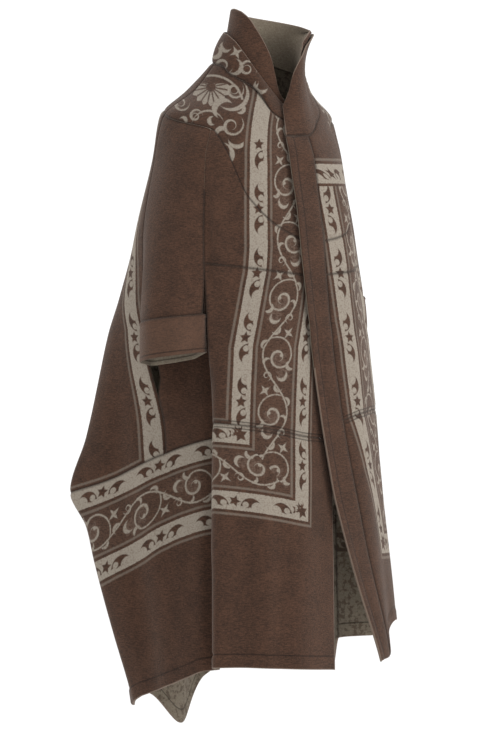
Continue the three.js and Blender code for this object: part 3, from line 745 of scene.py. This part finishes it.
def column_run(start, end):
    """Columns between two folds, at an even spacing round the coat."""
    fine = np.linspace(start, end, max(2, int((end - start) * STEPS_PER_FOLD)) + 1)
    ring = round_at("body", fine[None, :], np.array(RUN_HEIGHTS)[:, None])
    length = summed(length_of(ring, 1).max(axis=0), 0)
    return np.interp(spaced(0, length[-1], length[-1]), length, fine)


def body_cloth():
    """The body's panels. Downs count the seams: neck 0, yoke 1, waist 2, knee 3 and hem 4."""
    right = column_run(RIGHT_EDGE, RIGHT_ARM[0])
    right_shoulder = column_run(RIGHT_EDGE, RIGHT_ARM[1])
    back = column_run(RIGHT_ARM[1], LEFT_ARM[0])
    left = column_run(LEFT_ARM[1], BAND_SEAM)
    left_shoulder = column_run(LEFT_ARM[0], BAND_SEAM)
    band = column_run(BAND_SEAM, BAND_EDGE)
    right_hem = column_run(RIGHT_EDGE, VALLEY_RIGHT)
    back_hem = column_run(VALLEY_RIGHT, VALLEY_LEFT)
    left_hem = column_run(VALLEY_LEFT, BAND_SEAM)
    yoke, side, skirt, hem = (spaced(k, k + 1, length) for k, length in enumerate(PANEL_LENGTHS))
    upper = np.unique([*np.linspace(1, 2, BACK_ROWS[0]), *np.linspace(2, 3, BACK_ROWS[1]), *BACK_SEAM_ROWS])
    full = np.unique([*np.linspace(0, 1, BAND_ROWS[0]), *np.linspace(1, 4, BAND_ROWS[1]), *BAND_SEAM_ROWS])
    round_three = ["top", "bottom", "last"]
    round_all = [*round_three, "first"]

    def panel(node, columns, downs, sides, free=(), border=border_none, **more):
        cloth_panel(node, body_point, columns, downs, sides, free, border, **more)

    panel("yoke_right", right_shoulder, yoke, round_three, ["first"], border_right, neck_row=0)
    panel("yoke_back", back, yoke, round_all, neck_row=0)
    panel("yoke_left", left_shoulder, yoke, round_all, [], border_left_top, neck_row=0)
    panel("side_front_right", right, side, round_three, ["first"], border_right, quiet=["last"])
    panel("skirt_front_right", right, skirt, round_three, ["first"], border_right, stitched=["bottom"])
    panel("hem_front_right", right_hem, hem, ["top", "last"], ["first", "bottom"], border_right,
          hem="bottom", stitched=["top"])
    panel("back_upper", back, upper, round_all, [], border_back)
    panel("back_lower", back_hem, hem, ["top", "first", "last"], ["bottom"], border_below, hem="bottom")
    panel("side_front_left", left, side, round_all, [], border_left)
    panel("skirt_front_left", left, skirt, round_all, [], border_left, stitched=["bottom"])
    panel("hem_front_left", left_hem, hem, ["top", "first", "last"], ["bottom"], border_left,
          hem="bottom", stitched=["top"])
    panel("front_band", band, full, ["top", "first"], ["last", "bottom"],
          neck_row=0, hem="last", raw_top=RAW_EDGE_TOP, slot="band_cloth")


def arm_cloth():
    for side, arm, cuff in (("right", RIGHT_ARM, CUFF_RIGHT), ("left", LEFT_ARM, CUFF_LEFT)):
        columns = spaced(arm[0], arm[1], ARM_WIDTH)
        downs = np.concatenate([spaced(1, 2, SLEEVE_LENGTH, False), np.linspace(2, 3, FREE_SLEEVE_ROWS)[1:]])
        edges = ["top", "bottom", "first", "last"]
        cloth_panel(f"sleeve_{side}", sleeve_point(arm, cuff), columns, downs, edges,
                    quiet=["first" if side == "right" else "last"], slot="sleeve_cloth")
        cloth_panel(f"sleeve_under_{side}", under_point(arm, cuff), columns, spaced(0, 1, UNDER_LENGTH),
                    edges[1:], crease=False, slot="sleeve_cloth")
        cloth_panel(f"gusset_{side}", gusset_point(arm), columns, spaced(0, 1, GUSSET_LENGTH),
                    edges[1:], crease=False)
        cuff_cloth(f"cuff_{side}", arm, cuff)


def cuff_loop(arm, cuff, share):
    columns = np.linspace(arm[0], arm[1], CUFF_COLUMNS)

    def run(layer, column):
        top, end = (cuff_line(arm, cuff, which, column) for which in ("top", "end"))
        z = mix(top - SEAM_GAP, end, share)
        drawn = narrowed(arm, column, z, seam_height("waist", column))
        if layer == "sleeve":
            return raised(round_at(layer, drawn, z), z)
        return raised(tucked(layer, arm, drawn, z, UNDER_TUCK), z)

    return np.concatenate([run("sleeve", columns), run("under", columns[::-1])])


def ridges(rows, distance):
    return sum(height * bump_row(distance - at, width) for height, at, width in rows)


def cuff_cloth(node, arm, cuff):
    shares = np.array(CUFF_SHARES)
    points = np.array([cuff_loop(arm, cuff, share) for share in shares])
    along = np.roll(points, -1, axis=1) - np.roll(points, 1, axis=1)
    normals = unit(np.stack([-along[..., 1], along[..., 0], np.zeros(along.shape[:2])], axis=-1))
    width, length, area = cut_size(points, loop=True)
    depth = np.broadcast_to((shares * length / MM)[:, None], points.shape[:2])
    from_end = length / MM - depth
    shave = RIM_ROUNDING * np.exp(-np.minimum(depth, from_end) / CUFF_RIM_REACH)
    relief = ridges(CUFF_WELT, depth) + ridges(CUFF_STITCH, from_end)
    outer = points + normals * (CUFF_PROUD + relief - shave)[..., None]
    inner = points + normals * (CUFF_PROUD - WALL + shave)[..., None]
    flat_map = np.stack([np.full(points.shape[:2], FAR), points[..., 2]], axis=-1) * MM
    piece = wall_mesh("cloth_" + node, outer, inner, {
        "upright": flat_map, "level": flat_map, "edge": np.full(points.shape[:2], NOWHERE * MM),
        "seam": depth * MM, "row": (from_end - CUFF_HEM) * MM,
    }, loop=True)
    declare(piece, node, "cuff_cloth", width, length, area)


def collar_cloth():
    outer_down = spaced(0, 1, COLLAR_DEPTH)
    above, below = np.linspace(0, INNER_RISE, COLLAR_ROWS[0]), np.linspace(INNER_RISE, 1, COLLAR_ROWS[1])
    inner_down = np.unique([*above, *below, *COLLAR_SEAM_ROWS])
    for node, surface, ends, downs, sides, free, more in (
        ("collar_outer_right", collar_outer_point, (UNDER_BAND, MID_BACK), outer_down,
         ["bottom", "last"], ["top", "first"], {"neck_row": -1}),
        ("collar_outer_left", collar_outer_point, (MID_BACK, BAND_EDGE), outer_down,
         ["bottom", "first"], ["top", "last"], {"neck_row": -1}),
        ("collar_inner", collar_inner_point, (UNDER_BAND, LEFT_FRONT), inner_down,
         ["bottom"], ["top", "first", "last"], {}),
    ):
        cloth_panel(node, surface, column_run(*ends), downs, sides, free,
                    crease=False, slot="collar_cloth", **more)


# Materials


def linear(*rgb):
    def one(c):
        c = c / 255
        return c / 12.92 if c <= 0.04045 else ((c + 0.055) / 1.055) ** 2.4
    return (*[one(c) for c in rgb], 1.0)


BROWN = linear(71, 49, 37)
BROWN_DEEP = linear(42, 29, 22)
BROWN_WARM = linear(104, 80, 66)
SEAM_SHADE = linear(22, 15, 12)
PALE = linear(129, 121, 110)
GREY_INSIDE = linear(126, 118, 103)
MOTTLE = linear(90, 74, 64)
RAW_EDGE = linear(112, 97, 86)


def operation(name, *fixed):
    """A method that adds one math node to the tree."""
    def method(self, *others):
        return self._math(name, *others, *fixed)
    return method


class Term:
    """A number in a material's node tree, joined to others with ordinary signs."""

    def __init__(self, tree, value):
        self.tree = tree
        self.value = value

    def _math(self, operation, *others, clamp=False):
        node = self.tree.nodes.new("ShaderNodeMath")
        node.operation = operation
        node.use_clamp = clamp
        for slot_index, term in enumerate((self, *others)):
            value = term.value if isinstance(term, Term) else term
            if isinstance(value, bpy.types.NodeSocket):
                self.tree.links.new(value, node.inputs[slot_index])
            else:
                node.inputs[slot_index].default_value = value
        return Term(self.tree, node.outputs[0])

    __add__ = operation("ADD")
    __sub__ = operation("SUBTRACT")
    __mul__ = operation("MULTIPLY")
    __truediv__ = operation("DIVIDE")
    __neg__ = operation("MULTIPLY", -1.0)
    low = operation("MINIMUM")
    high = operation("MAXIMUM")
    size = operation("ABSOLUTE")
    wrap = operation("FLOORED_MODULO")
    sin = operation("SINE")
    cos = operation("COSINE")
    root = operation("SQRT")
    log = operation("LOGARITHM", math.e)
    turn = operation("ARCTAN2")
    over = operation("GREATER_THAN")

    def inside(self, soft):
        """1 where this distance is below zero, with a soft edge."""
        return (self * (-1.0 / soft))._math("ADD", 0.5, clamp=True)

    def clipped(self, top=1.0):
        return self.high(0.0).low(top)

    def opposite(self):
        return self * -1.0 + 1.0


# The woven border, across from its edge and along it, in millimetres
BAND_WIDTH = 40.0
SECOND_BAND = 145.0
LINE_OFFSET = 9.0
LINE_HALF = 2.6
LINE_SHARE = 0.36
STAR_PERIOD = 132.0
STAR_PHASE = 99.0
SCROLL_MIDDLE = 93.0
SCROLL_HALF = 39.0
SCROLL_PERIOD = 118.0
SCROLL_SHARE = 0.92
VINE_REACH = 30.0
VINE_HALF = 1.7
PLAIN_BAND_LENGTH = 88.0
GROUND_MOTTLE = 0.25
MOTTLE_SHARE = 0.85
BAND_SOFT = 1.4
MOTIF_SOFT = 2.0
ZONE_SOFT = 1.5
STAR_CLEARANCE = 2.2

# A crescent is a round less a smaller one: x, y and radius of each
CORNER_LEAVES = [((-15, -4, 8), (-19.25, -4.4, 6.5)), ((-4, -15, 8), (-4.4, -19.25, 6.5))]
LEAF = (12.4, 34, 22)
LEAF_EDGE = 12.5
LEAF_CUTS = [(10.4, 46.6, 12.4), (5.6, 22.4, 6.4), (19.6, 16.5, 10.4), (20.2, 32.5, 9.2)]
SCROLL_LEAVES = [
    ((-15, 42, 12.5), (-12, 35.5, 12)), ((27, -22, 9.5), (21.5, -18, 9.5)), ((7, -51, 10), (11.5, -56, 10)),
    ((21, 14, 9), (15.5, 18, 9.4)), ((-32, 22, 10), (-38, 17, 10)),
]
SHOULDER_LEAVES = [
    ((-128, 60, 33), (-128, 67, 36)), ((-178, 48, 8), (-184, 52, 8)), ((-120, 50, 9.5), (-112, 49, 9.5)),
    ((-77, -4, 34), (-84, -11, 35)), ((-98, 24, 22), (-88, 33, 22)), ((-68, 90, 18), (-69, 80, 19.5)),
    ((-97, 120, 24), (-106, 116, 23)), ((-216, 46, 14), (-212, 38, 14)), ((-60, 26, 10), (-67, 22, 10)),
    ((-101, 74, 13), (-96, 82, 12)),
]
COLLAR_LEAVES = [
    ((-72, -62, 17), (-79, -66, 16)), ((-44, -30, 20), (-43, -41, 22)), ((-84, -40, 14), (-82, -49, 14)),
    ((-20, -20, 15), (-15, -29, 15)), ((-112, -92, 13), (-118, -98, 12)), ((-92, -104, 12), (-86, -110, 12)),
]

# A spiral is its centre and turn, radius, tightness, start, ends (angles turned) and end widths
SCROLL_CURLS = [
    ((-5, 4, -1), 40, 0.2, math.pi / 2, (-0.6, 7.6), (2.6, 6.0)),
    ((20, 42, 1), 12, 0.24, 2.4, (0.0, 5.0), (2.4, 4.4)),
]
SHOULDER_CURLS = [
    ((-74, -14, 1), 19, 0.17, 0.4, (-0.4, 5.8), (3.0, 7.5)),
    ((-154, 40, -1), 14, 0.19, 1.2, (-0.5, 5.2), (2.6, 8.0)),
    ((-184, 12, 1), 17, 0.19, 1.0, (-0.5, 5.2), (2.6, 8.0)),
    ((-80, 60, 1), 24, 0.19, 0.2, (-0.5, 5.2), (2.6, 8.0)),
]
COLLAR_CURLS = [
    ((-98, -66, 1), 20, 0.18, 1.2, (-0.5, 5.6), (2.8, 7.0)),
    ((-48, -58, -1), 19, 0.18, 0.6, (-0.5, 5.6), (2.8, 7.0)),
]
SPIRAL_END = 8.0

# Stars and flowers: centre and turn, points, radius of the valleys and of the tips
BAND_STAR = ((0, 0, 0.3), 5, 6.4, 12.5)
CORNER_STAR = ((0, 0, 0.5), 5, 8.5, 17)
SCROLL_FLOWER = ((-22, -45, 0.6), 4, 4.6, 13)
COLLAR_FLOWER = ((-70, -92, 0.4), 4, 5, 14)
BLOSSOMS = [((-5, 8, 0), 7, 21), ((-18, 37, 1), 7, 17)]
KNOB = (-12, 1, 3.8)

# The fan on the shoulder: centre, reach with its scallops, ribs; and the arch round it
FAN_AT = (-122, -21)
FAN_REACH = 37
FAN_SCALLOP = 3
FAN_RIBS = 16
FAN_HEART = 10
FAN_GAP = 1.4
FAN_FOOT = -7
ARCH = (-122, 22, 67)
ARCH_HALF = 2.2
ARCH_FOOT = 6

# How far back the ornament reaches on the shoulders and on the collar
ORNAMENT_BACK = 92.0
COLLAR_ORNAMENT_BACK = 65.0
BORDER_CLEARANCE = LINE_OFFSET + 6.0


def far(x, y, at_x, at_y):
    dx = x - at_x
    dy = y - at_y
    return (dx * dx + dy * dy).root()


def outside(x, y, at_x, at_y, radius):
    return far(x, y, at_x, at_y) - radius


def crescent(x, y, big, cut):
    return outside(x, y, *big).high(-outside(x, y, *cut))


def any_of(drawn, x, y, rows):
    """All the shapes of one kind together: drawn makes each from its row."""
    shape = drawn(x, y, *rows[0])
    for row in rows[1:]:
        shape = shape.low(drawn(x, y, *row))
    return shape


def star(x, y, at, points, valley, tip):
    """Pointed star: at is its centre and turn, with the radius of its valleys and tips."""
    dx = x - at[0]
    dy = y - at[1]
    r = (dx * dx + dy * dy).root()
    half = math.pi / points
    angle = ((dy.turn(dx) + at[2] + half).wrap(2 * half) - half).size()
    run, rise = tip - valley * math.cos(half), valley * math.sin(half)
    side = math.hypot(run, rise)
    return (r * angle.cos() - tip) * (rise / side) + r * angle.sin() * (run / side)


def spiral(x, y, at, radius, tight, start, ends, widths):
    """Line that winds inward, from thin to thick."""
    dx = x - at[0]
    dy = (y - at[1]) * at[2]
    r = (dx * dx + dy * dy).root().high(0.5)
    shrunk = (r / radius).log()
    gap = 2 * math.pi * tight
    turned = (dy.turn(dx) - start).wrap(2 * math.pi)
    off = (shrunk + turned * tight + gap / 2).wrap(gap) - gap / 2
    wound = shrunk / -tight
    share = ((wound - ends[0]) / (ends[1] - ends[0])).clipped()
    line = off.size() * r - (share * (widths[1] - widths[0]) + widths[0]) / 2
    return line.high((wound - ends[0]) * -SPIRAL_END).high((wound - ends[1]) * SPIRAL_END)


def star_and_leaves(x, along):
    """Star with a curled leaf on each side; x is counted from the band's middle."""
    y = (along - STAR_PHASE + STAR_PERIOD / 2).wrap(STAR_PERIOD) - STAR_PERIOD / 2
    away = y.size()
    round_edge = outside(x, away, *LEAF)
    leaf = round_edge.high(x - LEAF_EDGE).high(-any_of(outside, x, away, LEAF_CUTS))
    return leaf.low(star(x, y, *BAND_STAR).high(-(round_edge - STAR_CLEARANCE)))


def petals(x, y, at, count, reach):
    """Soft blossom with a hollow heart, 1 at its fullest."""
    dx = x - at[0]
    dy = y - at[1]
    r = (dx * dx + dy * dy).root()
    wave = (dy.turn(dx) * count + at[2]).cos()
    body = (r - wave * (reach * 0.2) - reach * 0.8).inside(reach * 0.3)
    return body - (r - reach * 0.25).inside(reach * 0.3) * 0.8


def scroll_work(x, along):
    """Light vine that curls in turn to each side, with leaves, flowers and soft blossoms."""
    side = (along / SCROLL_PERIOD).wrap(2.0).over(1.0) * 2.0 - 1.0
    y = along.wrap(SCROLL_PERIOD) - SCROLL_PERIOD / 2
    x = x * side
    phase = y * (math.pi / SCROLL_PERIOD)
    lean = phase.sin() * (VINE_REACH * math.pi / SCROLL_PERIOD)
    vine = (x - phase.cos() * VINE_REACH).size() / (lean * lean + 1.0).root() - VINE_HALF
    flower = star(x, y, *SCROLL_FLOWER).low(outside(x, y, *KNOB))
    lines = vine.low(any_of(spiral, x, y, SCROLL_CURLS)).low(flower).low(any_of(crescent, x, y, SCROLL_LEAVES))
    first, second = (petals(x, y, *row) for row in BLOSSOMS)
    return lines, first.high(second)


def border_pattern(upright, level, upright_along, level_along, ragged):
    """Share of light yarn and of mottled yarn at a place in the woven border, and the distance
    in from its edge."""
    across = upright.high(level)
    along = upright_along + (level_along - upright_along) * level.over(upright)
    to_band = across.over(SCROLL_MIDDLE) * SECOND_BAND + BAND_WIDTH / 2
    x, corner_x, corner_y = across - to_band, upright - to_band, level - to_band
    edge = x.size() + ragged - BAND_WIDTH / 2
    square = (corner_x.size().high(corner_y.size()) - BAND_WIDTH / 2).inside(0.5)
    crossing = star(corner_x, corner_y, *CORNER_STAR).low(any_of(crescent, corner_x, corner_y, CORNER_LEAVES))
    motif = star_and_leaves(x, along) * square.opposite() + crossing * square
    patterned = (upright_along - PLAIN_BAND_LENGTH).over(0.0)
    band = edge.inside(BAND_SOFT) * ((motif + ragged).inside(MOTIF_SOFT) * patterned).opposite()
    line = ((edge - LINE_OFFSET).size() - LINE_HALF).inside(LINE_HALF) * LINE_SHARE
    middle = across - SCROLL_MIDDLE
    zone = (middle.size() - SCROLL_HALF).inside(ZONE_SOFT)
    lines, blossom = scroll_work(middle, along)
    light = band.high(line).high((lines + ragged).inside(MOTIF_SOFT) * zone * SCROLL_SHARE)
    return light, zone * (blossom + GROUND_MOTTLE).clipped() * MOTTLE_SHARE, across


def shoulder_ornament(x, y):
    """Fan of petals with curled leaves round it, seen square to the shoulder."""
    dx = x - FAN_AT[0]
    dy = y - FAN_AT[1]
    r = (dx * dx + dy * dy).root()
    angle = dy.turn(dx)
    to_rib = (angle.wrap(2 * math.pi / FAN_RIBS) - math.pi / FAN_RIBS).size() * r
    fan = (r - (angle * FAN_RIBS).cos() * FAN_SCALLOP - FAN_REACH).high(-r + FAN_HEART)
    fan = fan.high(-to_rib + FAN_GAP).high(-dy + FAN_FOOT)
    arch = (outside(x, y, *ARCH).size() - ARCH_HALF).high(y - ARCH_FOOT)
    return fan.low(arch).low(any_of(spiral, x, y, SHOULDER_CURLS)).low(any_of(crescent, x, y, SHOULDER_LEAVES))


def collar_ornament(x, y):
    """Curled leaves and flowers on the lower half of the turned-down collar."""
    curls = any_of(spiral, x, y, COLLAR_CURLS)
    return curls.low(star(x, y, *COLLAR_FLOWER)).low(any_of(crescent, x, y, COLLAR_LEAVES))


# The wool itself
WOOL = {
    "Roughness": 0.95, "Specular IOR Level": 0.15, "Sheen Weight": 0.14, "Sheen Roughness": 0.5,
    "Sheen Tint": (0.9, 0.8, 0.72, 1),
}
# Scale, detail, roughness and stretch of each noise
NOISES = {
    "fuzz": (900, 3, 0.6, (1, 1, 1)), "cloud": (24, 3, 0.55, (1, 1, 1)), "fleck": (300, 2, 0.6, (1, 1, 1)),
    "ribs": (120, 2, 0.6, (1, 1, 5)), "patch": (95, 3, 0.65, (1, 1, 1)), "haze": (1500, 1, 0.5, (1, 1, 1)),
}
# Each effect is a level with the noises that it varies by
TONE = (0.5, {"cloud": 1.0, "fuzz": 2.4, "fleck": 1.2, "ribs": 2.3})
RAGGED = (0.0, {"fuzz": 1.6, "fleck": 2.6})
SPECKLE = (0.56, {"fleck": 2.0, "ribs": 1.2})
WORN = (0.08, {"fleck": 2.2, "ribs": 0.8})
PATCHES = (0.0, {"patch": 7.0})
NAP = (0.0, {"fuzz": 0.5, "fleck": 0.9, "ribs": 0.6, "haze": 0.25})
MOST_WORN = 0.6
MOST_PATCHED = 0.55
REVERSED_SHARE = 0.8
NAP_STRENGTH = 0.6
NAP_DEPTH = 0.0016
# Marks along raw edges, seams and stitched rows: reach, softness and strength
RAW_MARK = (1.8, 1.2, 0.75)
SEAM_MARK = (2.8, 4.4, 0.6)
ROW_MARK = (1.5, 2.0, 0.64)


def cloth_material(name, pattern=True, ornament=None, warm=0.0, topped=False, ends_at=ORNAMENT_BACK):
    """Felted wool. pattern weaves the border in, ornament is drawn over it, warm is the share of
    the lighter brown, and topped ends the upright bands under a level one."""
    material = bpy.data.materials.new(name)
    material.use_nodes = True
    tree = material.node_tree
    tree.nodes.clear()
    made = {}

    def add(kind, settings, data_type=None):
        """New node, with each of the given inputs set to a value or joined to a socket."""
        node = tree.nodes.new("ShaderNode" + kind)
        if data_type:
            node.data_type = data_type
        for label, item in settings.items():
            if isinstance(item, bpy.types.NodeSocket):
                tree.links.new(item, node.inputs[label])
            else:
                node.inputs[label].default_value = item
        return node

    shader = add("BsdfPrincipled", WOOL)
    add("OutputMaterial", {"Surface": shader.outputs[0]})
    coords = add("TexCoord", {}).outputs["Object"]

    def parts_of(source):
        return [Term(tree, part) / MM for part in add("SeparateXYZ", {"Vector": source}).outputs]

    def uv(label):
        node = add("UVMap", {})
        node.uv_map = label
        return parts_of(node.outputs[0])[:2]

    def value(label):
        node = add("Attribute", {})
        node.attribute_name = label
        return Term(tree, node.outputs["Fac"])

    def mark(label, reach, soft, strength):
        return ((value(label) / MM).size() - reach).inside(soft) * strength

    def noise(label):
        if label not in made:
            scale, detail, rough, stretch = NOISES[label]
            at = add("Mapping", {"Vector": coords, "Scale": stretch}).outputs[0]
            node = add("TexNoise", {"Vector": at, "Scale": scale, "Detail": detail, "Roughness": rough})
            made[label] = Term(tree, node.outputs["Fac"]) - 0.5
        return made[label]

    def varied(level, weights):
        first, *rest = [noise(label) * weight for label, weight in weights.items()]
        for part in rest:
            first = first + part
        return first + level

    def blend(first, second, share):
        share = share.value if isinstance(share, Term) else share
        return add("Mix", {0: share, 6: first, 7: second}, "RGBA").outputs[2]

    brown = blend(blend(BROWN_DEEP, BROWN, varied(*TONE).clipped()), BROWN_WARM, warm)
    ragged = varied(*RAGGED)
    speckle = varied(*SPECKLE).clipped()
    face, light = brown, None
    if pattern:
        up, up_along = uv("upright")
        level, level_along = uv("level")
        if topped:
            below = level.over(TOP_BAND_DEPTH)
            up = (up - FAR) * below + FAR
            level = (level - FAR) * below.opposite() + FAR
        light, mottled, across = border_pattern(up, level, up_along, level_along, ragged)
        face = blend(brown, MOTTLE, mottled * speckle)
    if ornament:
        x, y, z = parts_of(coords)
        drawn = ornament((-x.size() - y) * math.sqrt(0.5), -z)
        drawn = (drawn + ragged).inside(MOTIF_SOFT) * (y - ends_at).inside(MOTIF_SOFT) * SCROLL_SHARE
        light = light.high(drawn * (across + BORDER_CLEARANCE).inside(1.0)) if pattern else drawn
    if light is None:
        back = blend(GREY_INSIDE, MOTTLE, speckle * 0.6)
    else:
        face = blend(face, blend(PALE, MOTTLE, varied(*WORN).clipped(MOST_WORN)), light)
        dark = (light * REVERSED_SHARE).high(varied(*PATCHES).clipped(MOST_PATCHED))
        back = blend(blend(GREY_INSIDE, MOTTLE, speckle * 0.5), brown, dark)
    colour = blend(face, back, value("inside"))
    colour = blend(colour, RAW_EDGE, mark("edge", *RAW_MARK))
    colour = blend(colour, SEAM_SHADE, mark("seam", *SEAM_MARK).high(mark("row", *ROW_MARK)))
    tree.links.new(colour, shader.inputs["Base Color"])
    nap = {"Strength": NAP_STRENGTH, "Distance": NAP_DEPTH, "Height": varied(*NAP).value}
    tree.links.new(add("Bump", nap).outputs[0], shader.inputs["Normal"])
    return material


def dress():
    """Gives each piece the material of the first row whose starts fit its name."""
    kinds = [(starts, cloth_material(name, **how)) for name, starts, how in (
        ("woven_shoulder_wool", "yoke_right", {"ornament": shoulder_ornament}),
        ("woven_left_shoulder_wool", "yoke_left", {"ornament": shoulder_ornament, "topped": True}),
        ("woven_collar_wool", "collar_outer",
         {"pattern": False, "ornament": collar_ornament, "ends_at": COLLAR_ORNAMENT_BACK}),
        ("cuff_wool", "cuff", {"pattern": False, "warm": 0.2}),
        ("woven_border_wool", ("yoke_back", "side_front", "skirt_front", "hem_front", "back_"), {}),
        ("plain_wool", "", {"pattern": False}),
    )]
    for piece in bpy.data.objects:
        if piece.name.startswith("cloth_"):
            name = piece.name.removeprefix("cloth_")
            piece.data.materials.append(next(kind for starts, kind in kinds if name.startswith(starts)))


# Studio

PIXEL = 2.07
FRAME_HEIGHT_PX = 734
VIEW_TURN = -45.0
VIEW_RISE = 0.3
VIEW_DISTANCE = 24000.0
AIM_ACROSS = -51.75
AIM_Z = -556.8
FLOOR_Z = -1495.0
FLOOR_HALF = 30.0
FLOOR_SHADE = (0.93, 0.93, 0.93, 1)
FLOOR_ROUGHNESS = 0.9
WORLD_LIGHT = 1.12
SENSOR = 36
# Turn and rise in degrees, distance and size in metres, and power
LAMPS = [
    ("key", -100, 32, 3.6, (2.0, 2.4), 18),
    ("fill", 8, 24, 3.6, (1.6, 2.2), 78),
    ("rim", 150, 40, 3.8, (2.0, 2.0), 30),
]


def outward_from(turn, rise):
    turn, rise = math.radians(turn), math.radians(rise)
    return np.array([math.sin(turn) * math.cos(rise), -math.cos(turn) * math.cos(rise), math.sin(rise)])


def placed(name, data, spot, turn, rise):
    """Puts a camera or lamp in the scene, looking back along its turn and rise."""
    item = bpy.data.objects.new(name, data)
    item.location = spot
    item.rotation_euler = (math.radians(90 - rise), 0, math.radians(turn))
    bpy.context.collection.objects.link(item)
    return item


def camera():
    turn = math.radians(VIEW_TURN)
    aim = np.array([math.cos(turn) * AIM_ACROSS, math.sin(turn) * AIM_ACROSS, AIM_Z])
    data = bpy.data.cameras.new("camera")
    data.sensor_width = SENSOR
    data.lens = SENSOR * VIEW_DISTANCE / (PIXEL * FRAME_HEIGHT_PX)
    data.clip_end = 100
    spot = (aim + outward_from(VIEW_TURN, VIEW_RISE) * VIEW_DISTANCE) * MM
    bpy.context.scene.camera = placed("camera", data, spot, VIEW_TURN, VIEW_RISE)


def studio():
    world = bpy.data.worlds.new("studio")
    bpy.context.scene.world = world
    world.use_nodes = True
    background = world.node_tree.nodes["Background"]
    background.inputs[0].default_value = (1, 1, 1, 1)
    background.inputs[1].default_value = WORLD_LIGHT
    for name, turn, rise, distance, size, power in LAMPS:
        data = bpy.data.lights.new(name, "AREA")
        data.shape = "RECTANGLE"
        data.size, data.size_y = size
        data.energy = power
        placed(name, data, outward_from(turn, rise) * distance + [0, 0, AIM_Z * MM], turn, rise)
    mesh = bpy.data.meshes.new("floor")
    corners = [(-1, -1), (1, -1), (1, 1), (-1, 1)]
    mesh.from_pydata([(x * FLOOR_HALF, y * FLOOR_HALF, FLOOR_Z * MM) for x, y in corners], [], [(0, 1, 2, 3)])
    floor = bpy.data.objects.new("floor", mesh)
    bpy.context.collection.objects.link(floor)
    material = bpy.data.materials.new("pale_floor")
    material.use_nodes = True
    shader = material.node_tree.nodes["Principled BSDF"]
    shader.inputs["Base Color"].default_value = FLOOR_SHADE
    shader.inputs["Roughness"].default_value = FLOOR_ROUGHNESS
    mesh.materials.append(material)
    bpy.context.scene.view_settings.view_transform = "Standard"


body_cloth()
arm_cloth()
collar_cloth()
dress()
studio()
camera()
